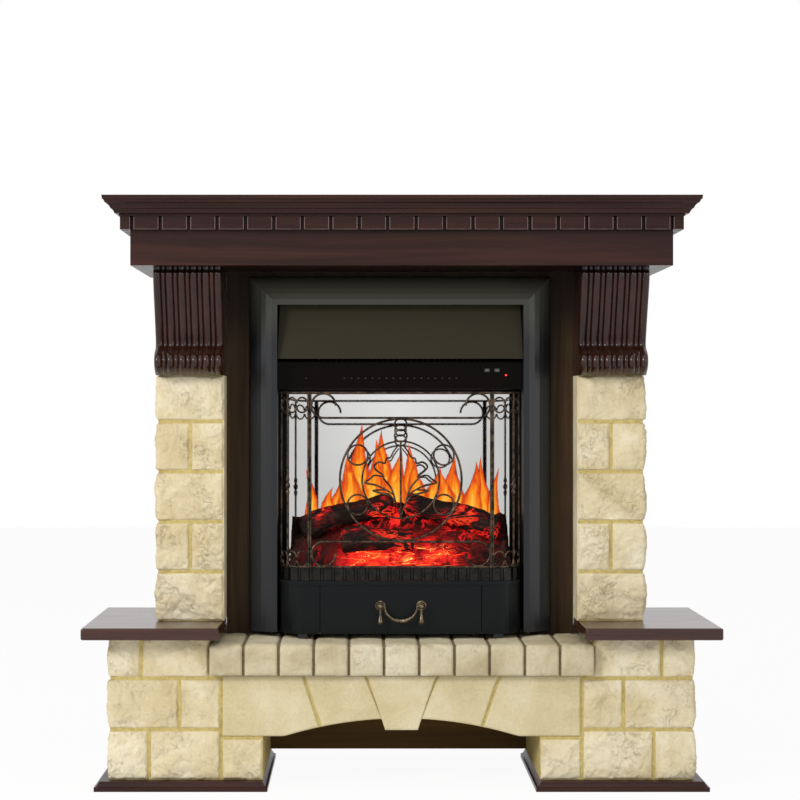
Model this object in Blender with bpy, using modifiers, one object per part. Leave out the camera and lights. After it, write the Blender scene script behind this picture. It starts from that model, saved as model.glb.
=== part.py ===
"""Electric fireplace suite: a cast-stone and timber portal with an electric insert.

Metres, +Z up. The front looks along -Y, the wall is the plane +Y, and the floor is z = 0.
The origin is on the floor, in the middle of the suite's width and depth.
"""
import math

import bmesh
import bpy
from mathutils import Matrix, Vector

GAP = 0.0003            # clearance kept between pieces that touch

# Portal heights, stacked from the floor up.
PLINTH_HEIGHT = 0.016
BASE_HEIGHT = 0.235
LEDGE_THICKNESS = 0.020
PILLAR_HEIGHT = 0.415
CORBEL_HEIGHT = 0.180
FRIEZE_HEIGHT = 0.058
DENTIL_HEIGHT = 0.022
MANTEL_THICKNESS = 0.032

# Portal projections from the wall.
MANTEL_DEPTH = 0.364
DENTIL_DEPTH = 0.337
FRIEZE_DEPTH = 0.3215
LEDGE_DEPTH = 0.347
PLINTH_DEPTH = 0.328
BASE_DEPTH = 0.306
BRICK_DEPTH = 0.322
PILLAR_DEPTH = 0.231
PANEL_DEPTH = 0.162

# Portal widths, measured from the middle.
DENTIL_HALF = 0.4622
FRIEZE_HALF = 0.447
LEDGE_HALF = 0.5258
PLINTH_HALF = 0.5065
BASE_HALF = 0.4845
PILLAR_INNER = 0.299
PILLAR_WIDTH = 0.1136
LEG_INNER = 0.2295
PLINTH_STEP = 0.0085    # depth of the plinth's moulded edge

# Boards and cladding.
BOARD = 0.016
FRIEZE_BOARD = 0.018
SOFFIT_BOARD = 0.012
BED = 0.0085            # mortar bed of the cladding, at the sides
FRONT_BED = 0.0120      # the same at the front, where the stones are thicker
STONE_PROUD = 0.0035    # how far the stones stand out of their bed
JOINT = 0.0064          # joint between courses
STONE_HEIGHT = 0.0783
STONE_SINK = 0.003      # how deep a stone sits in its bed
LIP = 0.0006            # bed showing past a stone at an open edge
PILLAR_SIDE_JOINT = 0.120   # first joint on the pillar's outer side, from its front
BASE_SIDE_JOINT = 0.165     # first joint on the pedestal's outer side, from its front
SHORT_COURSE = 0.58     # every second course wraps the corner by this share of that
BASE_JOINTS = (0.4176, 0.3675, 0.4306)   # upright joint of each pedestal course, bottom to top

# Hearth bricks and arch.
BRICKS = 11
BRICK_PITCH = 0.058
BRICK_JOINT = 0.0046
BRICK_BOTTOM = 0.190
BRICK_TOP = 0.241
BRICK_NOSE = 0.009      # rounding of a brick's front edge
BRICK_PROUD = 0.002
BRICK_END_CLEAR = 0.0015
DECK_THICKNESS = 0.020
LEDGE_INSET = 0.001     # ledge's inner end behind the pillar's inner side
LEDGE_ROUND = 0.003
PANEL_CLEAR = 0.001     # surround panel round the casing
ARCH_RADIUS = 0.654
ARCH_CROWN = 0.117
ARCH_SPRING = 0.0876
ARCH_END = 0.2985       # upright joint between the arch and the pedestal's blocks
ARCH_STEPS = 12
VOUSSOIR_FOOT = 0.1343
VOUSSOIR_HEAD = 0.1625
KEY_FOOT = 0.0269
KEY_HEAD = 0.0597
KEY_DROP = 0.0186
KEY_PROUD = 0.002
STRETCHER_LIFT = 0.018

# Mouldings: (share of the height, share of the overhang past the face above or below).
CROWN_PROFILE = ((0.0, 0.06), (0.10, 0.06), (0.12, 0.30), (0.22, 0.35), (0.33, 0.45), (0.36, 0.52),
                 (0.50, 0.61), (0.60, 0.73), (0.65, 0.84), (0.77, 0.89), (0.80, 0.97), (1.0, 1.0))
PLINTH_PROFILE = ((0.0, 1.0), (0.45, 1.0), (0.50, 0.6), (0.72, 0.3), (1.0, 0.0))

# Dentils.
DENTIL_PITCH = 0.0466
DENTIL_SLOT = 0.006
DENTIL_CUT = 0.012
DENTIL_STRIP = 0.030    # depth of the band behind its face

# Corbels: the front face as (share of the height, share of the largest depth), top to bottom.
CORBEL_DEPTH = 0.2975
CORBEL_PROFILE = ((1.0, 0.988), (0.965, 0.988), (0.94, 1.0), (0.88, 0.992), (0.77, 0.965),
                  (0.63, 0.926), (0.49, 0.887), (0.38, 0.859), (0.31, 0.844), (0.265, 0.850),
                  (0.225, 0.894), (0.185, 0.929), (0.13, 0.941), (0.08, 0.929), (0.035, 0.894),
                  (0.0, 0.850))
WIDE_REEDS = 6
REED_SHARE = 0.62       # a wide reed's share of a wide and a narrow one
REED_RISE = 0.0048
BEAD_RISE = 0.0030

# Insert: trim, hood and control panel.
FOOT_HEIGHT = 0.0082
FOOT_WIDTH = 0.015
FOOT_PLACE = 0.1657
TRIM_HEIGHT = 0.6075
TRIM_HALF = 0.260
TRIM_BORDER = 0.050
TRIM_RISE = 0.045
TRIM_SHEET = 0.002
TRIM_LIP = 0.004
TRIM_FLANGE = 0.022
TRIM_STEPS = 8
HOOD_HEIGHT = 0.092
HOOD_LEAN = 0.020
HOOD_SHEET = 0.0015
HOOD_TAPER = 0.0035     # hood's side from the trim, at its upper edge
BAND_HEIGHT = 0.0515
OUTLET_SLOT = 0.005
PANEL_SHEET = 0.004
PANEL_SET_BACK = 0.025  # control panel's face behind the trim's inner edge

# Insert: casing.
SHEET = 0.002
CASING_MARGIN = 0.0135  # casing's side past the trim's opening
CASING_RISE = 0.0315    # casing's top above the trim's opening
CASING_BACK = 0.032     # casing's back in front of the wall
SCREEN_DEPTH = 0.094    # screen's face from the wall
SCREEN_SHEET = 0.0022
SCREEN_HALF = 0.1936
SCREEN_DROP = 0.007     # screen's top edge below the firebox ceiling
WINDOW_BOTTOM = 0.360
WINDOW_MARGIN = 0.012

# Insert: bowed base and drawer.
BOW_DEPTH = 0.242       # front of the base from the wall
BOW_HALF = 0.2065
CORNER_WIDTH = 0.038
CORNER_DEPTH = 0.060
CORNER_STEPS = 8
CURVE_STEPS = 32
RAIL_RETURN = 0.010
DRAWER_HEIGHT = 0.0823
DRAWER_HALF = 0.1357
FACE_SHEET = 0.004      # pressed front of the drawer and the base's ends
DRAWER_SEAM = 0.001
TRAY_HALF = 0.122
TRAY_LENGTH = 0.115
TRAY_HEIGHT = 0.043
TRAY_SHEET = 0.0015
RUNNER_WIDTH = 0.014
RUNNER_HEIGHT = 0.005
RUNNER_PLACE = 0.107
RUNNER_SET_BACK = 0.010
RUNNER_LENGTH = 0.135
NOSE_THICKNESS = 0.008
NOSE_PROUD = 0.0015
FLUTE_HEIGHT = 0.0209
FLUTE_PITCH = 0.019
FLUTE_GROOVE = 0.006
FLUTE_CUT = 0.0022
FLUTE_STRIP = 0.007

# Insert: drop handle.
HANDLE_HALF = 0.0345
HANDLE_LIFT = 0.0479    # pivot above the drawer's lower edge
HANDLE_REACH = 0.0125   # pivot in front of the drawer's face
ROSETTE_RADIUS = 0.0090
ROSETTE_SHEET = 0.002
STEM_RADIUS = 0.0026
PIN_DEPTH = 0.0025
BAIL_STEPS = 14
KNOB_RADIUS = 0.0048
FINIAL_LENGTH = 0.036
BAIL_RADIUS = 0.0017
BAIL_BELLY = 0.0028
BAIL_DROP = 0.0245

# Insert: fender.
FENDER_INSET = 0.0025
FENDER_CLEAR = 0.005    # top rail below the firebox ceiling
WIRE = 0.0014
RAIL = 0.0017
POST = 0.0016
CORNER_POST = 0.1524
WING_BAY = 0.0435       # spacing of the wing's posts, along the bow
HOOK_RADIUS = 0.0205
INNER_RING = 0.0651
SMALL_RING = 0.0170
SMALL_RING_ANGLE = 30.0
SMALL_RING_PLACE = 0.0839
KNOT_COLLAR = 0.0034
KNOT_HALF = 0.017
KNOT_Z = 0.4993
MEDALLION_RADIUS = 0.1027
HOOK_TURN = 180.0       # angle of a hook's tip about its own middle
HOOK_STEPS = 12
ROD_STEP = 0.010
SCROLL_HALF = 0.0115
SCROLL_HALF_HEIGHT = 0.0135
SCROLL_DROP = 0.009
SCROLL_OPEN = 50.0
WEAVE = 0.0004          # paired scrolls pass in front of and behind each other
LEAF = 0.0012
LEAF_STROKES = (
    ((0.0, -0.063), (0.008, -0.040), (0.012, -0.025), (0.018, -0.011), (0.029, 0.002), (0.030, 0.008),
     (0.043, 0.018), (0.044, 0.025), (0.036, 0.030), (0.027, 0.028), (0.024, 0.036), (0.0175, 0.038),
     (0.012, 0.048), (0.003, 0.060)),
    ((0.030, 0.005), (0.044, 0.0075), (0.052, 0.0015), (0.060, -0.005), (0.042, -0.009),
     (0.025, -0.017), (0.0123, -0.025)),
    ((0.025, -0.017), (0.047, -0.018), (0.031, -0.023), (0.018, -0.027), (0.008, -0.040)),
)

# Insert: fuel bed.
BED_HALF = 0.188
BED_FRONT = 0.0180      # bed's front edge behind the fluted rail
BED_REAR_CLEAR = 0.0012
BED_LOW = 0.024
BED_HIGH = 0.105
BED_SWELL = 0.024
BED_LUMPS = 0.003
BED_COLUMNS = 20
BED_ROWS = 8
BED_CURVE = 0.8         # below one, the heap rises steeply at its front
LOG_RADIUS = 0.020
LOG_STEPS = 5
LOG_BEND = 0.004
LOG_TAPER = 0.12
LOG_KNOTS = 0.05
LOG_LEFT = ((-0.170, 0.025, 0.420), (-0.013, 0.048, 0.470))
LOG_CENTRE = ((-0.100, -0.010, 0.402), (0.022, -0.013, 0.408))

# Insert: working parts.
ROTOR_RADIUS = 0.018
ROTOR_BLADES = 12
SPINDLE_RADIUS = 0.0025
MOTOR_RADIUS = 0.016
BLOWER_RADIUS = 0.026
BLOWER_HALF = 0.110
BLOWER_VANES = 12
BUTTON_WIDTH = 0.0085
BUTTON_HEIGHT = 0.0055
BUTTON_PROUD = 0.0022
BUTTON_FLANGE = 0.002
BUTTON_CLEAR = 0.0003
BUTTON_PLACES = (0.1491, 0.1662)
BUTTON_DROP = 0.0195    # buttons below the hood's edge
LENS_RADIUS = 0.0016
LENS_PLACE = 0.1817
LENS_DROP = 0.0277
LENS_PROUD = 0.0008
GLAND_RADIUS = 0.006
GLAND_FLANGE = 0.009
GLAND_BORE = 0.003
GLAND_LENGTH = 0.012
GLAND_X = -0.175
GLAND_Z = 0.290
HOUSING_HALF = 0.150
HOUSING_SET_BACK = 0.010    # heater's duct behind the panel's face
HOUSING_LENGTH = 0.100
HOUSING_HEIGHT = 0.134
BLOWER_SET_BACK = 0.065     # wheel's axis behind the duct's front edge
BLOWER_LIFT = 0.099         # wheel's axis above the duct's underside
DISC_SHEET = 0.0012
BLADE_TIP = 0.98        # a blade's outer and inner edge, as shares of its rotor's radius
BLADE_ROOT = 0.62
MOTOR_LENGTH = 0.032
MOTOR_BORE = 0.012
ELEMENT_SET_BACK = 0.010
ELEMENT_DEPTH = 0.020
ELEMENT_HEIGHT = 0.090
ELEMENT_BAR = 0.008
FIN_PITCH = 0.010
FIN_SHEET = 0.0015
ROTOR_Z = 0.420
ROTOR_MOTOR_GAP = 0.004
LED_DEPTH = 0.008
LED_HEIGHT = 0.030
LED_BOTTOM = 0.330

# Levels and planes that follow from the sizes above.
WALL = MANTEL_DEPTH / 2
BASE_TOP = PLINTH_HEIGHT + BASE_HEIGHT
LEDGE_TOP = BASE_TOP + LEDGE_THICKNESS
PILLAR_TOP = LEDGE_TOP + PILLAR_HEIGHT
CORBEL_TOP = PILLAR_TOP + CORBEL_HEIGHT
FRIEZE_TOP = CORBEL_TOP + FRIEZE_HEIGHT
DENTIL_TOP = FRIEZE_TOP + DENTIL_HEIGHT
PILLAR_OUTER = PILLAR_INNER + PILLAR_WIDTH
CORE_INNER = PILLAR_INNER + BED
CORE_OUTER = PILLAR_OUTER - STONE_PROUD - BED
CORE_FRONT = PILLAR_DEPTH - STONE_PROUD - FRONT_BED
BASE_CORE_OUTER = BASE_HALF - STONE_PROUD - BED
BASE_CORE_FRONT = BASE_DEPTH - STONE_PROUD - FRONT_BED
LEG_CORE = LEG_INNER + BED
BRICK_HALF = (BRICKS * BRICK_PITCH - BRICK_JOINT) / 2
BRICK_END = BRICK_HALF + BRICK_END_CLEAR

INSERT_BOTTOM = BRICK_TOP + GAP + FOOT_HEIGHT
OPENING_HALF = TRIM_HALF - TRIM_BORDER
OPENING_TOP = INSERT_BOTTOM + TRIM_HEIGHT - TRIM_BORDER
HOOD_BOTTOM = OPENING_TOP - HOOD_HEIGHT
FIREBOX_TOP = HOOD_BOTTOM - BAND_HEIGHT
CONTROL_FACE = PANEL_DEPTH + TRIM_RISE - PANEL_SET_BACK
CASING_HALF = OPENING_HALF + CASING_MARGIN
CASING_TOP = OPENING_TOP + CASING_RISE
DRAWER_TOP = INSERT_BOTTOM + DRAWER_HEIGHT
SHELF_TOP = DRAWER_TOP + NOSE_THICKNESS
FLUTE_TOP = SHELF_TOP + FLUTE_HEIGHT
FENDER_TOP = FIREBOX_TOP - FENDER_CLEAR
HANDLE_Z = INSERT_BOTTOM + HANDLE_LIFT
FIREBOX_BACK = WALL - SCREEN_DEPTH + SCREEN_SHEET + GAP
CORNER_ARC = 0.078       # length of the bow's corner
LIGHT_BAY_Y = (FIREBOX_BACK + WALL - CASING_BACK) / 2
HEATER_FLOOR = FIREBOX_TOP + SHEET + GAP
HOUSING_FRONT = WALL - PANEL_DEPTH + HOUSING_SET_BACK
BLOWER_Y = HOUSING_FRONT + BLOWER_SET_BACK
BLOWER_Z = HEATER_FLOOR + BLOWER_LIFT
ELEMENT_FRONT = HOUSING_FRONT + ELEMENT_SET_BACK
ROTOR_MOTOR_X = CASING_HALF - SHEET - GAP - MOTOR_LENGTH
WINDOW_HALF = ROTOR_MOTOR_X - ROTOR_MOTOR_GAP

for leftover in list(bpy.data.objects):
    bpy.data.objects.remove(leftover)
parts = bpy.data.collections.new("electric_fireplace_suite")
cutters = bpy.data.collections.new("cutters")
for holder in (parts, cutters):
    bpy.context.scene.collection.children.link(holder)


def plane(depth):
    """The Y of a face that stands this far out from the wall."""
    return WALL - depth


def material(name, colour, roughness, metallic=0.0):
    """A plain Principled material; colour is linear RGB."""
    made = bpy.data.materials.new(name)
    made.use_nodes = True
    shader = made.node_tree.nodes["Principled BSDF"]
    shader.inputs["Base Color"].default_value = (*colour, 1.0)
    shader.inputs["Roughness"].default_value = roughness
    shader.inputs["Metallic"].default_value = metallic
    return made


def place(obj, name, finish):
    """Names an object, gives it its material and puts it in the suite's collection."""
    obj.name = name
    obj.data.name = name
    obj.data.materials.clear()
    obj.data.materials.append(finish)
    for collection in list(obj.users_collection):
        collection.objects.unlink(obj)
    parts.objects.link(obj)
    return obj


def mesh_object(bm, name="piece"):
    """An unnamed working object from a bmesh, with its faces turned outwards."""
    bmesh.ops.recalc_face_normals(bm, faces=bm.faces[:])
    mesh = bpy.data.meshes.new(name)
    bm.to_mesh(mesh)
    bm.free()
    obj = bpy.data.objects.new(name, mesh)
    cutters.objects.link(obj)
    return obj


def box(low, high):
    """A box between two corners, placed by its middle."""
    low, high = Vector(low), Vector(high)
    bm = bmesh.new()
    bmesh.ops.create_cube(bm, size=1.0)
    bmesh.ops.scale(bm, vec=high - low, verts=bm.verts[:])
    obj = mesh_object(bm)
    obj.location = (low + high) / 2
    return obj


def side_box(side, near, far, y_low, y_high, z_low, z_high):
    """A box on the left (side -1) or right (side 1), between two distances from the middle."""
    x_low, x_high = sorted((side * near, side * far))
    return box((x_low, y_low, z_low), (x_high, y_high, z_high))


def cylinder(centre, axis, radius, length, sides=24):
    """A cylinder about a world axis, placed by its middle."""
    bm = bmesh.new()
    bmesh.ops.create_cone(bm, cap_ends=True, segments=sides, radius1=radius, radius2=radius, depth=length)
    obj = mesh_object(bm)
    obj.location = centre
    obj.rotation_euler = {"X": (0, math.pi / 2, 0), "Y": (math.pi / 2, 0, 0), "Z": (0, 0, 0)}[axis]
    return obj


def as_mesh(obj):
    """Replaces a curve, or an object with modifiers, by its welded mesh."""
    bpy.context.view_layer.update()
    evaluated = obj.evaluated_get(bpy.context.evaluated_depsgraph_get())
    mesh = bpy.data.meshes.new_from_object(evaluated)
    bm = bmesh.new()
    bm.from_mesh(mesh)
    bmesh.ops.remove_doubles(bm, verts=bm.verts[:], dist=0.000002)
    bmesh.ops.recalc_face_normals(bm, faces=bm.faces[:])
    bm.to_mesh(mesh)
    bm.free()
    made = bpy.data.objects.new("piece", mesh)
    made.matrix_world = obj.matrix_world
    cutters.objects.link(made)
    bpy.data.objects.remove(obj)
    return made


def prism(outline, axis, low, high):
    """A flat outline extruded along a world axis.

    The outline's points are (y, z) for axis X, (x, z) for axis Y and (x, y) for axis Z.
    """
    curve = bpy.data.curves.new("outline", "CURVE")
    curve.dimensions = "2D"
    curve.fill_mode = "BOTH"
    curve.extrude = (high - low) / 2
    spline = curve.splines.new("POLY")
    spline.points.add(len(outline) - 1)
    for point, (u, v) in zip(spline.points, outline):
        point.co = (u, v, 0.0, 1.0)
    spline.use_cyclic_u = True
    obj = bpy.data.objects.new("outline", curve)
    cutters.objects.link(obj)
    middle = (low + high) / 2
    turns = {
        "X": Matrix(((0, 0, 1, middle), (1, 0, 0, 0), (0, 1, 0, 0), (0, 0, 0, 1))),
        "Y": Matrix(((1, 0, 0, 0), (0, 0, -1, middle), (0, 1, 0, 0), (0, 0, 0, 1))),
        "Z": Matrix.Translation((0, 0, middle)),
    }
    obj.matrix_world = turns[axis]
    return as_mesh(obj)


def loft(rings):
    """A closed solid through rings of equal length, with a flat cap on the first and the last."""
    bm = bmesh.new()
    rows = [[bm.verts.new(point) for point in ring] for ring in rings]
    count = len(rows[0])
    for lower, upper in zip(rows, rows[1:]):
        for index in range(count):
            following = (index + 1) % count
            bm.faces.new((lower[index], lower[following], upper[following], upper[index]))
    bm.faces.new(rows[0])
    bm.faces.new(rows[-1])
    return mesh_object(bm)


def turned(profile, steps=20):
    """A turned solid about Z; the profile is (radius, height) from its top to its bottom."""
    mesh = bpy.data.meshes.new("profile")
    mesh.from_pydata([(radius, 0.0, height) for radius, height in profile],
                     [(index, index + 1) for index in range(len(profile) - 1)], [])
    obj = bpy.data.objects.new("profile", mesh)
    cutters.objects.link(obj)
    screw = obj.modifiers.new("turn", "SCREW")
    screw.steps = screw.render_steps = steps
    screw.use_merge_vertices = True
    screw.merge_threshold = 0.00001
    return as_mesh(obj)


def tube(points, radius, cyclic=False, swell=None):
    """A round wire through points, six-sided; swell gives each point its share of the radius."""
    curve = bpy.data.curves.new("wire", "CURVE")
    curve.dimensions = "3D"
    curve.bevel_depth = radius
    curve.bevel_resolution = 1
    curve.use_fill_caps = not cyclic
    spline = curve.splines.new("POLY")
    spline.points.add(len(points) - 1)
    for index, (point, co) in enumerate(zip(spline.points, points)):
        point.co = (*co, 1.0)
        point.radius = swell[index] if swell else 1.0
    spline.use_cyclic_u = cyclic
    obj = bpy.data.objects.new("wire", curve)
    cutters.objects.link(obj)
    return as_mesh(obj)


def join(pieces):
    """One solid from overlapping pieces, by a Boolean union."""
    operands = bpy.data.collections.new("operands")
    bpy.context.scene.collection.children.link(operands)
    for piece in pieces[1:]:
        operands.objects.link(piece)
    union = pieces[0].modifiers.new("union", "BOOLEAN")
    union.operation = "UNION"
    union.operand_type = "COLLECTION"
    union.collection = operands
    made = as_mesh(pieces[0])
    for piece in pieces[1:]:
        bpy.data.objects.remove(piece)
    bpy.data.collections.remove(operands)
    return made


def cut(target, *tools):
    """Cuts each tool out of the target; the tools stay in the cutters' collection."""
    for tool in tools:
        tool.name = f"cutter_{target.name}"
        tool.hide_render = True
        tool.display_type = "WIRE"
        hole = target.modifiers.new("cut", "BOOLEAN")
        hole.operation = "DIFFERENCE"
        hole.object = tool
    return target


def round_edges(obj, width, segments=2):
    """Rounds a box's edges."""
    bevel = obj.modifiers.new("edges", "BEVEL")
    bevel.width = width
    bevel.segments = segments
    bevel.limit_method = "ANGLE"
    return obj


def smooth(obj, degrees=40.0):
    """Shades a round piece smooth, up to this angle."""
    obj.data.shade_smooth()
    obj.data.set_sharp_from_angle(angle=math.radians(degrees))
    return obj


def stacked(profile, overhang, inner, outer, depth, bottom, top):
    """A slab against the wall whose moulded edge runs round its front and both ends."""
    rings = []
    for height, share in profile:
        out = overhang * share
        z = bottom + (top - bottom) * height
        front = plane(depth + out)
        rings.append([(inner - out, front, z), (outer + out, front, z),
                      (outer + out, WALL, z), (inner - out, WALL, z)])
    return loft(rings)


def mirrored(points, side):
    """Turns a right-hand outline into this side's."""
    return [(side * x, *rest) for x, *rest in points]


def courses(bottom, top):
    """The lowest and highest z of each course of stones between two levels."""
    found = []
    low = bottom + LIP
    while top - LIP - low > STONE_HEIGHT / 4:
        found.append((low, min(low + STONE_HEIGHT, top - LIP)))
        low += STONE_HEIGHT + JOINT
    return found


def channel(inner, outer, front, wall, back):
    """Plan outline of a board channel that opens to the back."""
    return [(inner, front), (outer, front), (outer, back), (outer - wall, back),
            (outer - wall, front + wall), (inner + wall, front + wall), (inner + wall, back), (inner, back)]


def mantel_shelf():
    top = DENTIL_TOP + MANTEL_THICKNESS
    return stacked(CROWN_PROFILE, MANTEL_DEPTH - DENTIL_DEPTH, -DENTIL_HALF, DENTIL_HALF,
                   DENTIL_DEPTH, DENTIL_TOP, top)


def notched(start, end, centres, inward):
    """Points along a straight run with a slot cut inward at each centre, measured from the start."""
    start, end, inward = Vector(start), Vector(end), Vector(inward)
    along = (end - start).normalized()
    points = [start]
    for centre in centres:
        near = start + along * (centre - DENTIL_SLOT / 2)
        far = start + along * (centre + DENTIL_SLOT / 2)
        points += [near, near + inward * DENTIL_CUT, far + inward * DENTIL_CUT, far]
    return [tuple(point) for point in points]


def dentil_band():
    """The band under the shelf, with dentils along its front and both ends."""
    front = plane(DENTIL_DEPTH)
    slots = int((DENTIL_HALF - DENTIL_SLOT) / DENTIL_PITCH - 0.5) + 1
    first = DENTIL_HALF - (slots - 0.5) * DENTIL_PITCH
    across = [first + index * DENTIL_PITCH for index in range(2 * slots)]
    on_side = int((DENTIL_DEPTH - first - DENTIL_SLOT) / DENTIL_PITCH) + 1
    down = [first + index * DENTIL_PITCH for index in range(on_side)]
    from_wall = [DENTIL_DEPTH - place_along for place_along in reversed(down)]
    outline = notched((-DENTIL_HALF, WALL), (-DENTIL_HALF, front), from_wall, (1, 0))
    outline += notched((-DENTIL_HALF, front), (DENTIL_HALF, front), across, (0, 1))
    outline += notched((DENTIL_HALF, front), (DENTIL_HALF, WALL), down, (-1, 0))
    outline += [(DENTIL_HALF, WALL), (DENTIL_HALF - DENTIL_STRIP, WALL),
                (DENTIL_HALF - DENTIL_STRIP, front + DENTIL_STRIP),
                (-DENTIL_HALF + DENTIL_STRIP, front + DENTIL_STRIP), (-DENTIL_HALF + DENTIL_STRIP, WALL)]
    return prism(outline, "Z", FRIEZE_TOP, DENTIL_TOP - GAP)


def frieze_board():
    outline = channel(-FRIEZE_HALF, FRIEZE_HALF, plane(FRIEZE_DEPTH), FRIEZE_BOARD, WALL)
    return prism(outline, "Z", CORBEL_TOP, FRIEZE_TOP - GAP)


def soffit_board():
    half = FRIEZE_HALF - FRIEZE_BOARD - GAP
    return box((-half, plane(FRIEZE_DEPTH) + FRIEZE_BOARD + GAP, CORBEL_TOP),
               (half, WALL, CORBEL_TOP + SOFFIT_BOARD))


def reeding():
    """Places across a corbel and how far its reeding stands out there, as (x, rise) pairs."""
    wide = PILLAR_WIDTH / (WIDE_REEDS + (WIDE_REEDS - 1) * (1 - REED_SHARE) / REED_SHARE)
    narrow = wide * (1 - REED_SHARE) / REED_SHARE
    points = []
    x = 0.0
    for index in range(2 * WIDE_REEDS - 1):
        is_wide = index % 2 == 0
        width, rise = (wide, REED_RISE) if is_wide else (narrow, BEAD_RISE)
        steps = 3 if is_wide else 2
        shares = [step / steps for step in range(steps)]
        points += [(x + width * share, rise * math.sin(math.pi * share)) for share in shares]
        x += width
    points.append((PILLAR_WIDTH, 0.0))
    return points


def corbel(side):
    """A reeded bracket round the pillar's carcass, under the frieze."""
    back = plane(PANEL_DEPTH - BOARD)
    front_core = plane(CORE_FRONT) - GAP
    rings = []
    for height, share in CORBEL_PROFILE:
        depth = CORBEL_DEPTH * share
        z = PILLAR_TOP + (CORBEL_HEIGHT - GAP) * height
        face = [(PILLAR_INNER + x, plane(depth - REED_RISE + rise)) for x, rise in reeding()]
        round_core = [(PILLAR_OUTER, WALL), (CORE_OUTER + GAP, WALL), (CORE_OUTER + GAP, front_core),
                      (CORE_INNER - GAP, front_core), (CORE_INNER - GAP, back), (PILLAR_INNER, back)]
        rings.append([(side * x, y, z) for x, y in face + round_core])
    return loft(rings)


def pillar_carcass(side):
    outline = channel(CORE_INNER, CORE_OUTER, plane(CORE_FRONT), BOARD, WALL)
    return prism(mirrored(outline, side), "Z", LEDGE_TOP, CORBEL_TOP - GAP)


def corner_stone(inner, outer, front, side_end, low, high, side):
    """A stone that wraps the corner: its face on the front, its end on the outer side."""
    sunk = STONE_PROUD + STONE_SINK
    outline = [(inner, front), (outer, front), (outer, side_end), (outer - sunk, side_end),
               (outer - sunk, front + sunk), (inner, front + sunk)]
    return prism(mirrored(outline, side), "Z", low, high)


def side_stones(outer, joints, low, high, side):
    """Stones along the outer side, between joints given as distances from the wall."""
    sunk = STONE_PROUD + STONE_SINK
    stones = []
    for near, far in zip(joints, joints[1:]):
        stones.append(side_box(side, outer - sunk, outer, plane(near - JOINT / 2),
                               plane(far + JOINT / 2), low, high))
    return stones


def pillar_cladding(side):
    """Five courses of stones on one bed, round the pillar's front and outer side."""
    face = plane(PILLAR_DEPTH - STONE_PROUD)
    inner_end = plane(PANEL_DEPTH - BOARD)
    core_face = plane(CORE_FRONT) - GAP
    bed_outer = PILLAR_OUTER - STONE_PROUD
    outline = [(PILLAR_INNER, inner_end), (PILLAR_INNER, face), (bed_outer, face), (bed_outer, WALL),
               (CORE_OUTER + GAP, WALL), (CORE_OUTER + GAP, core_face),
               (CORE_INNER - GAP, core_face), (CORE_INNER - GAP, inner_end)]
    top = PILLAR_TOP - GAP
    solids = [prism(mirrored(outline, side), "Z", LEDGE_TOP, top)]
    middle = PILLAR_INNER + PILLAR_WIDTH / 2
    front = plane(PILLAR_DEPTH)
    sunk = STONE_PROUD + STONE_SINK
    for index, (low, high) in enumerate(courses(LEDGE_TOP, top)):
        split = index % 2 == 1
        inner = PILLAR_INNER + LIP
        if split:
            solids.append(side_box(side, inner, middle - JOINT / 2, front, front + sunk, low, high))
            inner = middle + JOINT / 2
        joint = PILLAR_DEPTH - PILLAR_SIDE_JOINT * (SHORT_COURSE if split else 1.0)
        solids.append(corner_stone(inner, PILLAR_OUTER, front, plane(joint + JOINT / 2), low, high, side))
        solids += side_stones(PILLAR_OUTER, (joint, -JOINT / 2 + LIP), low, high, side)
    return join(solids)


def surround_panel():
    """The board round the insert, standing on the bricks, open below for the casing."""
    half = PILLAR_INNER - GAP
    hole = CASING_HALF + PANEL_CLEAR
    low, high = BRICK_TOP + GAP, CORBEL_TOP - GAP
    hole_top = CASING_TOP + PANEL_CLEAR
    outline = [(-half, low), (-half, high), (half, high), (half, low),
               (hole, low), (hole, hole_top), (-hole, hole_top), (-hole, low)]
    return prism(outline, "Y", plane(PANEL_DEPTH), plane(PANEL_DEPTH - BOARD))


def ledge_shelf(side):
    shelf = side_box(side, PILLAR_INNER + LEDGE_INSET, LEDGE_HALF, plane(LEDGE_DEPTH), WALL,
                     BASE_TOP, LEDGE_TOP - GAP)
    return round_edges(shelf, LEDGE_ROUND)


def pedestal_outline(margin, inner, outer, low, high, notch_top):
    """The pedestal seen from the front, with its upper inner corner cut out for the bricks."""
    notch = BRICK_END + margin
    return [(inner + margin, low + margin), (outer - margin, low + margin), (outer - margin, high - margin),
            (notch, high - margin), (notch, notch_top - margin), (inner + margin, notch_top - margin)]


def base_carcass(side):
    """A board box inside the pedestal, open to the wall."""
    front = plane(BASE_CORE_FRONT)
    sizes = (LEG_CORE, BASE_CORE_OUTER, PLINTH_HEIGHT, BASE_TOP - GAP, BRICK_BOTTOM - GAP)
    solid = prism(mirrored(pedestal_outline(0.0, *sizes), side), "Y", front, WALL)
    hollow = prism(mirrored(pedestal_outline(BOARD, *sizes), side), "Y", front + BOARD, WALL + BOARD)
    return cut(solid, hollow)


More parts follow.
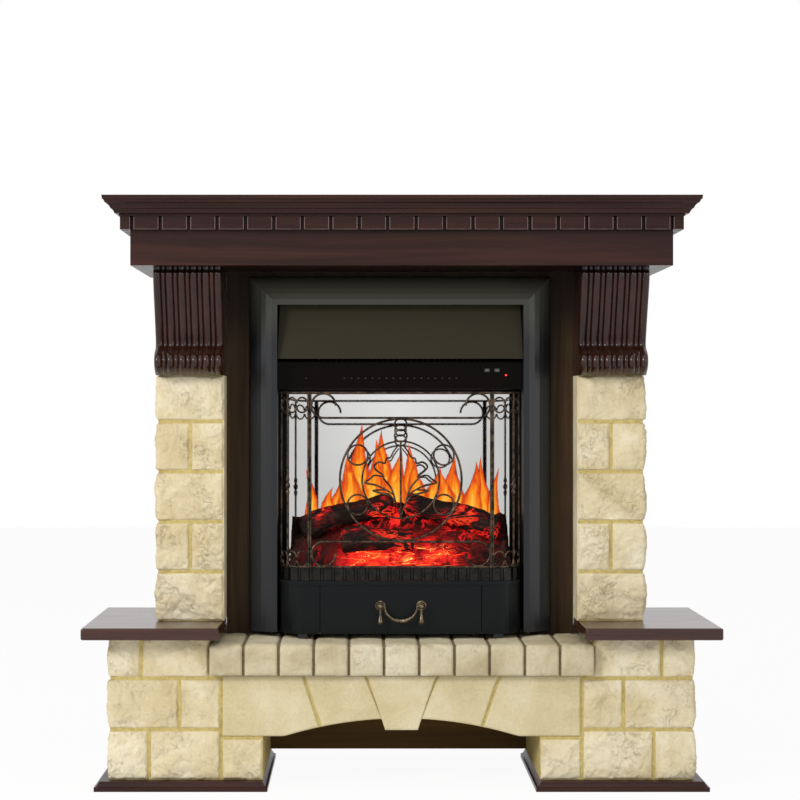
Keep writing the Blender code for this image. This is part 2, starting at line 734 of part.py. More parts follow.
def base_cladding(side):
    """The pedestal's stones on one bed, round its front, its outer side and the leg's inner side."""
    face = plane(BASE_DEPTH - STONE_PROUD)
    core_face = plane(BASE_CORE_FRONT) - GAP
    bed_outer = BASE_HALF - STONE_PROUD
    leg_top = ARCH_SPRING - GAP
    notch_top = BRICK_BOTTOM - GAP
    top = BASE_TOP - GAP
    outline = [(LEG_INNER, PLINTH_HEIGHT), (bed_outer, PLINTH_HEIGHT), (bed_outer, top), (BRICK_END, top),
               (BRICK_END, notch_top), (ARCH_END, notch_top), (ARCH_END, leg_top), (LEG_INNER, leg_top)]
    solids = [prism(mirrored(outline, side), "Y", face, core_face)]
    lap = FRONT_BED / 2
    solids.append(side_box(side, BASE_CORE_OUTER + GAP, bed_outer, core_face - lap, WALL, PLINTH_HEIGHT, top))
    deck_bottom = BRICK_BOTTOM - DECK_THICKNESS
    solids.append(side_box(side, LEG_INNER, LEG_CORE - GAP, core_face, WALL,
                           PLINTH_HEIGHT, deck_bottom - GAP))
    solids.append(side_box(side, LEG_INNER, LEG_CORE - GAP, core_face - lap, core_face + lap,
                           PLINTH_HEIGHT, leg_top))
    front = plane(BASE_DEPTH)
    sunk = STONE_PROUD + STONE_SINK
    leg_stone_top = ARCH_SPRING - JOINT
    solids.append(side_box(side, LEG_INNER + LIP, ARCH_END - JOINT / 2, front, front + sunk,
                           PLINTH_HEIGHT + LIP, leg_stone_top))
    for index, (low, high) in enumerate(courses(PLINTH_HEIGHT, top)):
        beside_bricks = high > notch_top
        inner = BRICK_END + LIP if beside_bricks else ARCH_END + JOINT / 2
        middle = BASE_JOINTS[index % len(BASE_JOINTS)]
        solids.append(side_box(side, inner, middle - JOINT / 2, front, front + sunk, low, high))
        joint = BASE_DEPTH - BASE_SIDE_JOINT * (SHORT_COURSE if index % 2 else 1.0)
        solids.append(corner_stone(middle + JOINT / 2, BASE_HALF, front, plane(joint + JOINT / 2),
                                   low, high, side))
        solids += side_stones(BASE_HALF, (joint, -JOINT / 2 + LIP), low, high, side)
    return join(solids)


def plinth(side):
    """The stepped board under a pedestal."""
    inner, outer = sorted((side * LEG_INNER, side * (PLINTH_HALF - PLINTH_STEP)))
    return stacked(PLINTH_PROFILE, PLINTH_STEP, inner, outer, PLINTH_DEPTH - PLINTH_STEP,
                   0.0, PLINTH_HEIGHT - GAP)


def arch_height(x, lift=0.0):
    """The arch's underside above a place x from the middle."""
    return ARCH_CROWN - ARCH_RADIUS + math.sqrt(ARCH_RADIUS ** 2 - x ** 2) + lift


def arch_edge(start, end, lift=0.0):
    """Points along the arch's underside, level with the springing past its ends."""
    spring_half = math.sqrt(ARCH_RADIUS ** 2 - (ARCH_SPRING - ARCH_CROWN + ARCH_RADIUS) ** 2)
    steps = max(2, round(ARCH_STEPS * abs(end - start) / (2 * spring_half)))
    places = [start + (end - start) * step / steps for step in range(steps + 1)]
    places += [x for x in (-spring_half, spring_half) if min(start, end) < x < max(start, end)]
    places.sort(reverse=end < start)
    return [(x, max(arch_height(x), ARCH_SPRING) + lift) for x in places]


def arch_cladding():
    """Springers, voussoirs and a keystone on one bed that spans the alcove."""
    face = plane(BASE_DEPTH - STONE_PROUD)
    back = plane(BASE_CORE_FRONT) - GAP
    top = BRICK_BOTTOM - GAP
    end = ARCH_END - GAP
    bed = [(-end, top), (end, top)] + arch_edge(end, -end)
    solids = [prism(bed, "Y", face, back)]
    front = plane(BASE_DEPTH)
    sunk = STONE_PROUD + STONE_SINK
    head = top - LIP
    half_joint = JOINT / 2
    for side in (-1, 1):
        foot, shoulder = VOUSSOIR_FOOT, VOUSSOIR_HEAD
        springer = [(shoulder + half_joint, head), (end - half_joint, head)]
        springer += arch_edge(end - half_joint, foot + half_joint, LIP)
        voussoir = [(KEY_HEAD + half_joint, head), (shoulder - half_joint, head)]
        voussoir += arch_edge(foot - half_joint, KEY_FOOT + JOINT, LIP)
        for stone in (springer, voussoir):
            solids.append(prism(mirrored(stone, side), "Y", front, front + sunk))
    key_bottom = ARCH_CROWN - KEY_DROP
    key = [(-KEY_HEAD + half_joint, head), (KEY_HEAD - half_joint, head), (KEY_FOOT, key_bottom),
           (-KEY_FOOT, key_bottom)]
    solids.append(prism(key, "Y", front - KEY_PROUD, back - LIP))
    return join(solids)


def hearth_deck():
    half = LEG_CORE - GAP
    return box((-half, plane(BASE_CORE_FRONT), BRICK_BOTTOM - DECK_THICKNESS),
               (half, WALL, BRICK_BOTTOM - GAP))


def rear_stretcher():
    half = LEG_INNER - GAP
    return box((-half, WALL - BOARD, STRETCHER_LIFT),
               (half, WALL, BRICK_BOTTOM - DECK_THICKNESS - GAP))


def hearth_bricks():
    """A row of bricks with rounded noses, on one mortar bed that runs back under the insert."""
    front = plane(BRICK_DEPTH)
    centre = (front + BRICK_NOSE, BRICK_TOP - BRICK_NOSE)
    nose = [(centre[0] - BRICK_NOSE * math.cos(math.radians(angle)),
             centre[1] + BRICK_NOSE * math.sin(math.radians(angle))) for angle in (0, 22.5, 45, 67.5, 90)]
    section = [(front, BRICK_BOTTOM)] + nose + [(WALL, BRICK_TOP), (WALL, BRICK_BOTTOM)]
    bed = box((-BRICK_HALF + LIP, front + STONE_PROUD, BRICK_BOTTOM + LIP),
              (BRICK_HALF - LIP, WALL - LIP, BRICK_TOP - BRICK_PROUD))
    solids = [bed]
    for index in range(BRICKS):
        low = -BRICK_HALF + index * BRICK_PITCH
        solids.append(prism(section, "X", low, low + BRICK_PITCH - BRICK_JOINT))
    return join(solids)


def trim_frame():
    """A rolled sheet frame, mitred at its two upper corners and open below."""
    rise, width = TRIM_RISE - TRIM_LIP, TRIM_BORDER
    inner_width, inner_rise = width - TRIM_SHEET, rise - TRIM_SHEET
    outer = [(width * math.cos(angle), TRIM_LIP + rise * math.sin(angle))
             for angle in [math.pi / 2 * step / TRIM_STEPS for step in range(TRIM_STEPS + 1)]]
    last = math.acos(TRIM_SHEET / inner_width)
    inner = [(inner_width * math.cos(angle), TRIM_LIP + inner_rise * math.sin(angle))
             for angle in [last * step / TRIM_STEPS for step in range(TRIM_STEPS + 1)]]
    section = [(width, GAP)] + outer + [(0.0, GAP), (TRIM_FLANGE, GAP), (TRIM_FLANGE, GAP + TRIM_SHEET),
                                        (TRIM_SHEET, GAP + TRIM_SHEET)] + inner[::-1]
    section.append((inner_width, GAP))
    rings = []
    for side, is_foot in ((-1, True), (-1, False), (1, False), (1, True)):
        rings.append([(side * (OPENING_HALF + out), plane(PANEL_DEPTH + rise_at),
                       INSERT_BOTTOM if is_foot else OPENING_TOP + out) for out, rise_at in section])
    return loft(rings)


def casing():
    """A sheet box with the firebox and heater bay open to the front and a light bay behind."""
    front, back = plane(PANEL_DEPTH), plane(CASING_BACK)
    bottom = INSERT_BOTTOM + GAP
    half = CASING_HALF - SHEET
    solid = box((-CASING_HALF, front, bottom), (CASING_HALF, back, CASING_TOP))
    firebox = box((-half, front - SHEET, bottom + SHEET), (half, FIREBOX_BACK, FIREBOX_TOP))
    light_bay = box((-half, FIREBOX_BACK + SHEET, bottom + SHEET), (half, back - SHEET, FIREBOX_TOP))
    heater_bay = box((-half, front - SHEET, FIREBOX_TOP + SHEET), (half, back - SHEET, CASING_TOP - SHEET))
    window = box((-WINDOW_HALF, FIREBOX_BACK - SHEET, WINDOW_BOTTOM),
                 (WINDOW_HALF, FIREBOX_BACK + 2 * SHEET, FIREBOX_TOP - WINDOW_MARGIN))
    gland = cylinder((GLAND_X, back, GLAND_Z), "Y", GLAND_RADIUS + GAP, 4 * SHEET)
    return cut(solid, firebox, light_bay, heater_bay, window, gland)


def cord_gland():
    """A gland through the casing's back, bored for a cord."""
    back = plane(CASING_BACK)
    stem_start, end = back - 2 * SHEET, back + GLAND_LENGTH
    stem = cylinder((GLAND_X, (stem_start + end) / 2, GLAND_Z), "Y", GLAND_RADIUS, end - stem_start)
    flange = cylinder((GLAND_X, back + GAP + SHEET / 2, GLAND_Z), "Y", GLAND_FLANGE, SHEET, 6)
    bore = cylinder((GLAND_X, back, GLAND_Z), "Y", GLAND_BORE, 4 * GLAND_LENGTH)
    return cut(join([stem, flange]), bore)


def hood_plate():
    """A sloping canopy sheet, narrower at its upper edge."""
    low_half = OPENING_HALF - GAP
    rings = []
    upper = (low_half - HOOD_TAPER, 0.0, OPENING_TOP - GAP)
    for half, lean, z in ((low_half, HOOD_LEAN, HOOD_BOTTOM), upper):
        face = plane(CONTROL_FACE + lean)
        rings.append([(-half, face, z), (half, face, z), (half, face + HOOD_SHEET, z),
                      (-half, face + HOOD_SHEET, z)])
    return loft(rings)


def control_panel():
    half = OPENING_HALF - GAP
    face = plane(CONTROL_FACE)
    return box((-half, face, FIREBOX_TOP), (half, face + PANEL_SHEET, HOOD_BOTTOM - OUTLET_SLOT))


def control_holes():
    """Cutters for the buttons and the lens."""
    middle = plane(CONTROL_FACE) + PANEL_SHEET / 2
    z = HOOD_BOTTOM - BUTTON_DROP
    tools = []
    for x in BUTTON_PLACES:
        half = Vector((BUTTON_WIDTH / 2 + BUTTON_CLEAR, PANEL_SHEET, BUTTON_HEIGHT / 2 + BUTTON_CLEAR))
        centre = Vector((x, middle, z))
        tools.append(box(centre - half, centre + half))
    tools.append(cylinder((LENS_PLACE, middle, HOOD_BOTTOM - LENS_DROP), "Y", LENS_RADIUS + GAP,
                          2 * PANEL_SHEET, 12))
    return tools


def button(x):
    """A push button with a flange that keeps it behind the panel."""
    face = plane(CONTROL_FACE)
    z = HOOD_BOTTOM - BUTTON_DROP
    back = face + PANEL_SHEET + GAP
    cap = box((x - BUTTON_WIDTH / 2, face - BUTTON_PROUD, z - BUTTON_HEIGHT / 2),
              (x + BUTTON_WIDTH / 2, back + BUTTON_FLANGE / 2, z + BUTTON_HEIGHT / 2))
    wide, tall = BUTTON_WIDTH / 2 + BUTTON_FLANGE, BUTTON_HEIGHT / 2 + BUTTON_FLANGE
    flange = box((x - wide, back, z - tall), (x + wide, back + BUTTON_FLANGE, z + tall))
    return join([cap, flange])


def indicator_lens():
    face = plane(CONTROL_FACE)
    length = PANEL_SHEET + 2 * LENS_PROUD
    return cylinder((LENS_PLACE, face - LENS_PROUD + length / 2, HOOD_BOTTOM - LENS_DROP), "Y",
                    LENS_RADIUS, length, 12)


def heater_housing():
    """The blower's duct, open to the front, with an intake in its roof."""
    low = (-HOUSING_HALF, HOUSING_FRONT, HEATER_FLOOR)
    high = (HOUSING_HALF, HOUSING_FRONT + HOUSING_LENGTH, HEATER_FLOOR + HOUSING_HEIGHT)
    solid = box(low, high)
    pocket = box((low[0] + SHEET, low[1] - SHEET, low[2] + SHEET),
                 (high[0] - SHEET, high[1] - SHEET, high[2] - SHEET))
    intake = box((-BLOWER_HALF, BLOWER_Y - BLOWER_RADIUS / 2, high[2] - 2 * SHEET),
                 (BLOWER_HALF, BLOWER_Y + BLOWER_RADIUS / 2, high[2] + SHEET))
    shaft = cylinder((HOUSING_HALF, BLOWER_Y, BLOWER_Z), "X", SPINDLE_RADIUS + GAP, 4 * SHEET, 12)
    return cut(solid, pocket, intake, shaft)


def bladed(y, z, radius, half, count, left_end, right_end):
    """A rotor about X: a spindle with blades between two discs."""
    pieces = [cylinder(((left_end + right_end) / 2, y, z), "X", SPINDLE_RADIUS, right_end - left_end, 12)]
    for x in (-half, half):
        pieces.append(cylinder((x, y, z), "X", radius, DISC_SHEET, 24))
    for index in range(count):
        turn = 2 * math.pi * index / count
        blade = box((-half, -radius * BLADE_TIP, -DISC_SHEET / 2),
                    (half, -radius * BLADE_ROOT, DISC_SHEET / 2))
        middle = Vector(blade.location)
        turned_middle = Matrix.Rotation(turn, 3, "X") @ middle
        blade.location = turned_middle + Vector((0, y, z))
        blade.rotation_euler = (turn, 0, 0)
        pieces.append(blade)
    return join(pieces)


def blower_wheel():
    wheel = bladed(BLOWER_Y, BLOWER_Z, BLOWER_RADIUS, BLOWER_HALF, BLOWER_VANES,
                   -HOUSING_HALF + SHEET + GAP, HOUSING_HALF + 2 * SHEET)
    return wheel


def motor(x, y, z, length, bore):
    """A motor's can, bored for the spindle it turns."""
    can = cylinder((x + length / 2, y, z), "X", MOTOR_RADIUS, length)
    hole = cylinder((x, y, z), "X", SPINDLE_RADIUS + GAP, 2 * bore, 12)
    return cut(can, hole)


def heating_element():
    """A finned heating block across the duct."""
    half = HOUSING_HALF - SHEET - GAP
    outline = [(half, ELEMENT_BAR), (half, 0.0), (-half, 0.0), (-half, ELEMENT_BAR)]
    fins = int(2 * half / FIN_PITCH)
    first = -(fins - 1) * FIN_PITCH / 2
    for index in range(fins):
        x = first + index * FIN_PITCH
        outline += [(x - FIN_SHEET / 2, ELEMENT_BAR), (x - FIN_SHEET / 2, ELEMENT_HEIGHT),
                    (x + FIN_SHEET / 2, ELEMENT_HEIGHT), (x + FIN_SHEET / 2, ELEMENT_BAR)]
    low = HEATER_FLOOR + SHEET + GAP
    outline = [(x, z + low) for x, z in outline]
    return prism(outline, "Y", ELEMENT_FRONT, ELEMENT_FRONT + ELEMENT_DEPTH)


def flame_screen():
    face = plane(SCREEN_DEPTH)
    return box((-SCREEN_HALF, face, SHELF_TOP + GAP), (SCREEN_HALF, face + SCREEN_SHEET,
                                                      FIREBOX_TOP - SCREEN_DROP))


def flame_rotor():
    end = CASING_HALF - SHEET - GAP
    return bladed(LIGHT_BAY_Y, ROTOR_Z, ROTOR_RADIUS, WINDOW_HALF - 2 * MOTOR_RADIUS / 3, ROTOR_BLADES,
                  -end, ROTOR_MOTOR_X + MOTOR_BORE / 2)


def led_board():
    back = plane(CASING_BACK) - SHEET - GAP
    return box((-WINDOW_HALF, back - LED_DEPTH, LED_BOTTOM), (WINDOW_HALF, back, LED_BOTTOM + LED_HEIGHT))


def bow_at(distance, inset=0.0):
    """A point of the bowed front, this far along it from the middle; negative is to the left.

    The front is straight, then turns back along a quarter ellipse, then runs straight to the wall.
    """
    side = -1.0 if distance < 0 else 1.0
    left = abs(distance)
    straight = BOW_HALF - CORNER_WIDTH
    front = plane(BOW_DEPTH)
    if left <= straight:
        return Vector((side * left, front + inset))
    left -= straight
    here = Vector((straight, front + inset))
    for step in range(1, CURVE_STEPS + 1):
        angle = math.pi / 2 * step / CURVE_STEPS
        there = Vector((straight + (CORNER_WIDTH - inset) * math.sin(angle),
                        front + CORNER_DEPTH - (CORNER_DEPTH - inset) * math.cos(angle)))
        length = (there - here).length
        if left <= length:
            point = here.lerp(there, left / length)
            return Vector((side * point.x, point.y))
        left -= length
        here = there
    return Vector((side * here.x, here.y + left))


def bow_outline(inset, start=0.0):
    """Right-hand points of the bowed front, from a place on its straight part to its corner's end."""
    front = plane(BOW_DEPTH)
    points = [(start, front + inset)]
    for step in range(CORNER_STEPS + 1):
        angle = math.pi / 2 * step / CORNER_STEPS
        points.append((BOW_HALF - CORNER_WIDTH + (CORNER_WIDTH - inset) * math.sin(angle),
                       front + CORNER_DEPTH - (CORNER_DEPTH - inset) * math.cos(angle)))
    return points


def base_shelf():
    """The bowed shelf over the drawer; it runs back as the firebox's floor."""
    right = bow_outline(-NOSE_PROUD)
    right[0] = (right[1][0], right[1][1])
    right = right[1:]
    right.append((right[-1][0], FIREBOX_BACK - GAP))
    outline = right + [(-x, y) for x, y in reversed(right)]
    return prism(outline, "Z", DRAWER_TOP + GAP, SHELF_TOP)


def fluted_rail():
    """An upright strip along the bow, with flutes cut in its face."""
    total = BOW_HALF - CORNER_WIDTH + CORNER_ARC
    face = []
    count = int(total / FLUTE_PITCH)
    for index in range(-count, count + 1):
        centre = index * FLUTE_PITCH
        for step, depth in ((-0.5, 0.0), (-0.3, 1.0), (0.3, 1.0), (0.5, 0.0)):
            point = bow_at(centre + step * FLUTE_GROOVE, FLUTE_CUT * depth)
            face.append((point.x, point.y))
    end = plane(BOW_DEPTH) + CORNER_DEPTH + RAIL_RETURN
    inner = bow_outline(FLUTE_STRIP)[1:]
    back = [(x, y) for x, y in reversed(inner)]
    outline = [(-BOW_HALF, end)] + face + [(BOW_HALF, end), (BOW_HALF - FLUTE_STRIP, end)] + back
    outline += [(-x, y) for x, y in inner] + [(-BOW_HALF + FLUTE_STRIP, end)]
    return prism(outline, "Z", SHELF_TOP + GAP, FLUTE_TOP)


def base_end(side):
    """The base's pressed end, from the drawer's seam round the corner to the casing."""
    start = DRAWER_HALF + DRAWER_SEAM
    back = plane(PANEL_DEPTH) - GAP
    outer = bow_outline(0.0, start) + [(BOW_HALF, back)]
    inner = bow_outline(FACE_SHEET, start) + [(BOW_HALF - FACE_SHEET, back)]
    return prism(mirrored(outer + inner[::-1], side), "Z", INSERT_BOTTOM + GAP, DRAWER_TOP)


def base_floor():
    inset = FACE_SHEET + GAP
    right = bow_outline(inset)[1:] + [(BOW_HALF - inset, plane(PANEL_DEPTH) - GAP)]
    outline = right + [(-x, y) for x, y in reversed(right)]
    low = INSERT_BOTTOM + GAP
    return prism(outline, "Z", low, low + SHEET)


def foot_rail(side):
    return side_box(side, FOOT_PLACE - FOOT_WIDTH / 2, FOOT_PLACE + FOOT_WIDTH / 2,
                    plane(BOW_DEPTH) + FACE_SHEET + GAP, plane(CASING_BACK) - FOOT_WIDTH,
                    BRICK_TOP + GAP, INSERT_BOTTOM)


def drawer_front():
    face = plane(BOW_DEPTH)
    return box((-DRAWER_HALF, face, INSERT_BOTTOM + GAP), (DRAWER_HALF, face + FACE_SHEET, DRAWER_TOP))


def drawer_tray():
    """The ash tray behind the drawer's front, open at the top."""
    front = plane(BOW_DEPTH) + FACE_SHEET + GAP
    bottom = INSERT_BOTTOM + GAP + SHEET + GAP + RUNNER_HEIGHT + GAP
    solid = box((-TRAY_HALF, front, bottom), (TRAY_HALF, front + TRAY_LENGTH, bottom + TRAY_HEIGHT))
    pocket = box((-TRAY_HALF + TRAY_SHEET, front + TRAY_SHEET, bottom + TRAY_SHEET),
                 (TRAY_HALF - TRAY_SHEET, front + TRAY_LENGTH - TRAY_SHEET, bottom + 2 * TRAY_HEIGHT))
    return cut(solid, pocket)


def drawer_runner(side):
    low = INSERT_BOTTOM + GAP + SHEET + GAP
    return side_box(side, RUNNER_PLACE - RUNNER_WIDTH / 2, RUNNER_PLACE + RUNNER_WIDTH / 2,
                    plane(BOW_DEPTH) + RUNNER_SET_BACK, plane(BOW_DEPTH) + RUNNER_SET_BACK + RUNNER_LENGTH,
                    low, low + RUNNER_HEIGHT)


def handle_post(side):
    """A rosette with a knob and a hanging finial; the knob is bored for the bail's pin."""
    x = side * HANDLE_HALF
    face = plane(BOW_DEPTH) - GAP
    pivot = plane(BOW_DEPTH + HANDLE_REACH)
    rosette = cylinder((x, face - ROSETTE_SHEET / 2, HANDLE_Z), "Y", ROSETTE_RADIUS, ROSETTE_SHEET, 20)
    stem = cylinder((x, (face + pivot) / 2, HANDLE_Z), "Y", STEM_RADIUS, face - pivot - LIP, 12)
    below = FINIAL_LENGTH - KNOB_RADIUS
    knob = turned([(0.0, KNOB_RADIUS), (KNOB_RADIUS * 0.7, KNOB_RADIUS * 0.75), (KNOB_RADIUS, 0.0),
                   (KNOB_RADIUS * 0.8, -KNOB_RADIUS * 0.6), (KNOB_RADIUS * 0.5, -KNOB_RADIUS * 1.1),
                   (KNOB_RADIUS * 0.55, -below * 0.45), (KNOB_RADIUS, -below * 0.8),
                   (KNOB_RADIUS * 0.7, -below * 0.94), (0.0, -below)], 16)
    knob.location = (x, pivot, HANDLE_Z)
    pin = cylinder((side * (HANDLE_HALF - KNOB_RADIUS), pivot, HANDLE_Z), "X", BAIL_RADIUS + GAP,
                   2 * PIN_DEPTH, 12)
    return join([rosette, stem, knob]), pin


def bail_handle():
    """A drop handle whose origin is on the axis of its two pins."""
    half = HANDLE_HALF - KNOB_RADIUS - BAIL_RADIUS - 2 * GAP
    pin_end = HANDLE_HALF - KNOB_RADIUS + PIN_DEPTH - GAP
    points, swell = [(-pin_end, 0.0, 0.0)], [1.0]
    for step in range(BAIL_STEPS + 1):
        angle = math.pi * step / BAIL_STEPS
        points.append((-half * math.cos(angle), 0.0, -BAIL_DROP * math.sin(angle)))
        swell.append(1.0 + (BAIL_BELLY / BAIL_RADIUS - 1.0) * math.sin(angle) ** 4)
    points.append((pin_end, 0.0, 0.0))
    swell.append(1.0)
    bail = tube(points, BAIL_RADIUS, swell=swell)
    bail.location = (0.0, plane(BOW_DEPTH + HANDLE_REACH), HANDLE_Z)
    return bail


def bed_height(x, y):
    """Top of the ember heap: low in front, high at the screen and highest in the middle."""
    front = plane(BOW_DEPTH) + FLUTE_STRIP + BED_FRONT
    rear = plane(SCREEN_DEPTH) - BED_REAR_CLEAR
    share = (y - front) / (rear - front)
    crest = BED_HIGH - BED_LOW + BED_SWELL * math.cos(math.pi * x / (2 * BED_HALF)) ** 2
    lumps = BED_LUMPS * (math.sin(83.0 * x + 1.3) * math.sin(97.0 * y + 0.4)
                         + 0.6 * math.sin(191.0 * x + 151.0 * y))
    return SHELF_TOP + BED_LOW + crest * share ** BED_CURVE + lumps


def ember_bed():
    """The heap of embers, from the fluted rail back to the screen."""
    front = plane(BOW_DEPTH) + FLUTE_STRIP + BED_FRONT
    rear = plane(SCREEN_DEPTH) - BED_REAR_CLEAR
    bottom = SHELF_TOP + GAP
    rings = []
    for column in range(BED_COLUMNS + 1):
        x = -BED_HALF + 2 * BED_HALF * column / BED_COLUMNS
        ring = [(x, front, bottom), (x, rear, bottom)]
        for row in range(BED_ROWS, -1, -1):
            y = front + (rear - front) * row / BED_ROWS
            ring.append((x, y, bed_height(x, y)))
        rings.append(ring)
    return loft(rings)


def log(ends, radius):
    """A log between two points, a little crooked and tapered."""
    start, end = Vector(ends[0]), Vector(ends[1])
    points, swell = [], []
    for step in range(LOG_STEPS + 1):
        share = step / LOG_STEPS
        point = start.lerp(end, share)
        point.z += LOG_BEND * math.sin(math.pi * share * 1.7)
        points.append(tuple(point))
        swell.append(1.0 - LOG_TAPER * share + LOG_KNOTS * math.sin(7.0 * share))
    return tube(points, radius, swell=swell)


def wire(points, radius, cyclic=False, back=0.0):
    """A fender wire; its points are (distance along the bow, z)."""
    path = []
    for distance, z in points:
        spot = bow_at(distance, FENDER_INSET + back)
        path.append((spot.x, spot.y, z))
    return tube(path, radius, cyclic)


def arc(centre_x, centre_z, radius, start, end, steps, tall=1.0):
    """Points of an arc in the fender's face; angles in degrees from +X towards +Z."""
    angles = [math.radians(start + (end - start) * step / steps) for step in range(steps + 1)]
    return [(centre_x + radius * math.cos(angle), centre_z + tall * radius * math.sin(angle))
            for angle in angles]


def ring(centre_x, centre_z, radius, gauge, steps):
    """A closed ring in the fender's face."""
    return wire(arc(centre_x, centre_z, radius, 0, 360, steps)[:-1], gauge, True)


def fender_post(distance, gauge):
    return wire([(distance, FLUTE_TOP + GAP), (distance, FENDER_TOP)], gauge)


def fender_rods(start, end, gauge):
    """The top and bottom rods between two places along the bow."""
    steps = max(1, round(abs(end - start) / ROD_STEP))
    rods = []
    for z in (FENDER_TOP - gauge, FLUTE_TOP + GAP + gauge):
        rods.append(wire([(start + (end - start) * step / steps, z) for step in range(steps + 1)], gauge))
    return rods


def fender_front():
    """The fender's flat front: posts, rods, hooks and the scrolled medallion."""
    lower = FLUTE_TOP + GAP
    middle = (FENDER_TOP + lower) / 2
    outer = MEDALLION_RADIUS
    hook = HOOK_RADIUS
    hook_x = CORNER_POST - POST - hook
    pieces = [fender_post(side * CORNER_POST, POST) for side in (-1, 1)]
    pieces += fender_rods(-CORNER_POST, CORNER_POST, RAIL)
    for up in (-1, 1):
        rod = middle + up * (outer + WIRE * 1.3)
        points = arc(hook_x, rod + up * hook, hook, up * HOOK_TURN, up * -90, HOOK_STEPS)
        path = points + [(-x, z) for x, z in reversed(points)]
        pieces.append(wire(path, RAIL))
    pieces.append(ring(0.0, middle, outer, RAIL, 40))
    pieces.append(ring(0.0, middle, INNER_RING, WIRE, 28))
    for angle in (-SMALL_RING_ANGLE, SMALL_RING_ANGLE):
        for side in (-1, 1):
            turn = math.radians(angle)
            pieces.append(ring(side * SMALL_RING_PLACE * math.cos(turn),
                               middle + SMALL_RING_PLACE * math.sin(turn), SMALL_RING, WIRE, 14))
    between = (outer - INNER_RING) / 4
    for step in (1, 3):
        pieces.append(ring(0.0, middle + INNER_RING + between * step, between + WIRE * 0.6, WIRE, 12))
    pieces.append(wire([(0.0, middle - INNER_RING), (0.0, middle + INNER_RING)], WIRE))
    for side in (-1, 1):
        for stroke in LEAF_STROKES:
            pieces.append(wire([(side * dx, middle + dz) for dx, dz in stroke], LEAF))
    return join(pieces)


def fender_wing(side):
    """A wing of the fender: two bays round the corner with paired scrolls."""
    knot = CORNER_POST + WING_BAY
    end = knot + WING_BAY
    start = CORNER_POST + 2 * POST + GAP
    pieces = [fender_post(side * knot, POST), fender_post(side * end, POST),
              fender_post(side * start, POST)]
    pieces += fender_rods(side * start, side * end, RAIL)
    spot = bow_at(side * knot, FENDER_INSET)
    collar = turned([(0.0, KNOT_HALF), (POST * 0.9, KNOT_HALF), (KNOT_COLLAR, KNOT_HALF / 2),
                     (KNOT_COLLAR, -KNOT_HALF / 2), (POST * 0.9, -KNOT_HALF), (0.0, -KNOT_HALF)], 10)
    collar.location = (spot.x, spot.y, KNOT_Z)
    pieces.append(collar)
    low = FLUTE_TOP + GAP + RAIL + SCROLL_HALF_HEIGHT
    high = FENDER_TOP - SCROLL_DROP - SCROLL_HALF_HEIGHT
    for z in (low, high):
        for left, right in ((start, knot), (knot, end)):
            for post, turn in ((left, 1), (right, -1)):
                centre = post + turn * (SCROLL_HALF + POST * 0.4)
                points = arc(0.0, 0.0, SCROLL_HALF, SCROLL_OPEN, 360 - SCROLL_OPEN, 10)
                tall = SCROLL_HALF_HEIGHT / SCROLL_HALF
                pieces.append(wire([(side * (centre + turn * x), z + dz * tall) for x, dz in points], WIRE,
                                   back=turn * WEAVE))
    return join(pieces)


wood = material("stained_timber", (0.072, 0.030, 0.018), 0.38)
panel_wood = material("dark_board", (0.020, 0.012, 0.007), 0.42)
carcass_board = material("carcass_board", (0.42, 0.30, 0.18), 0.80)
stone = material("cast_stone", (0.66, 0.55, 0.37), 0.90)
brick = material("hearth_brick", (0.64, 0.56, 0.42), 0.92)
black_steel = material("black_steel", (0.022, 0.020, 0.017), 0.36, 0.6)
olive_steel = material("hood_steel", (0.036, 0.026, 0.014), 0.50, 0.5)
zinc_steel = material("zinc_steel", (0.52, 0.53, 0.54), 0.45, 1.0)
iron = material("wrought_iron", (0.020, 0.016, 0.012), 0.40, 0.7)
antique_brass = material("antique_brass", (0.12, 0.095, 0.065), 0.34, 1.0)
gloss_band = material("gloss_band", (0.008, 0.005, 0.003), 0.10)
grey_plastic = material("grey_plastic", (0.18, 0.18, 0.18), 0.50)
black_plastic = material("black_plastic", (0.015, 0.015, 0.015), 0.45)
red_lens = material("red_lens", (0.60, 0.01, 0.005), 0.15)
mirror_screen = material("mirror_screen", (0.80, 0.80, 0.80), 0.04, 1.0)
ember = material("moulded_embers", (0.10, 0.045, 0.025), 0.90)
bark = material("moulded_logs", (0.060, 0.040, 0.028), 0.85)
board_green = material("circuit_board", (0.02, 0.16, 0.05), 0.40)
brown_wood = material("ledge_timber", (0.085, 0.038, 0.024), 0.30)

place(mantel_shelf(), "mantel_shelf", wood)
place(dentil_band(), "dentil_band", wood)
place(frieze_board(), "frieze_board", wood)
place(soffit_board(), "soffit_board", wood)
place(surround_panel(), "surround_panel", panel_wood)
place(arch_cladding(), "arch_cladding", stone)
place(hearth_deck(), "hearth_deck", carcass_board)
place(rear_stretcher(), "rear_stretcher", carcass_board)
place(hearth_bricks(), "hearth_bricks", brick)
for side, hand in ((-1, "left"), (1, "right")):
    place(corbel(side), f"corbel_{hand}", wood)
    place(pillar_carcass(side), f"pillar_carcass_{hand}", carcass_board)
    place(pillar_cladding(side), f"pillar_cladding_{hand}", stone)
    place(ledge_shelf(side), f"ledge_shelf_{hand}", brown_wood)
    place(base_carcass(side), f"base_carcass_{hand}", carcass_board)
    place(base_cladding(side), f"base_cladding_{hand}", stone)
    place(plinth(side), f"plinth_{hand}", wood)
    place(foot_rail(side), f"foot_rail_{hand}", zinc_steel)
    place(base_end(side), f"base_end_{hand}", black_steel)
    place(drawer_runner(side), f"drawer_runner_{hand}", zinc_steel)
    post, bore = handle_post(side)
    place(post, f"handle_post_{hand}", antique_brass)
    cut(post, bore)
    place(fender_wing(side), f"fender_wing_{hand}", iron)

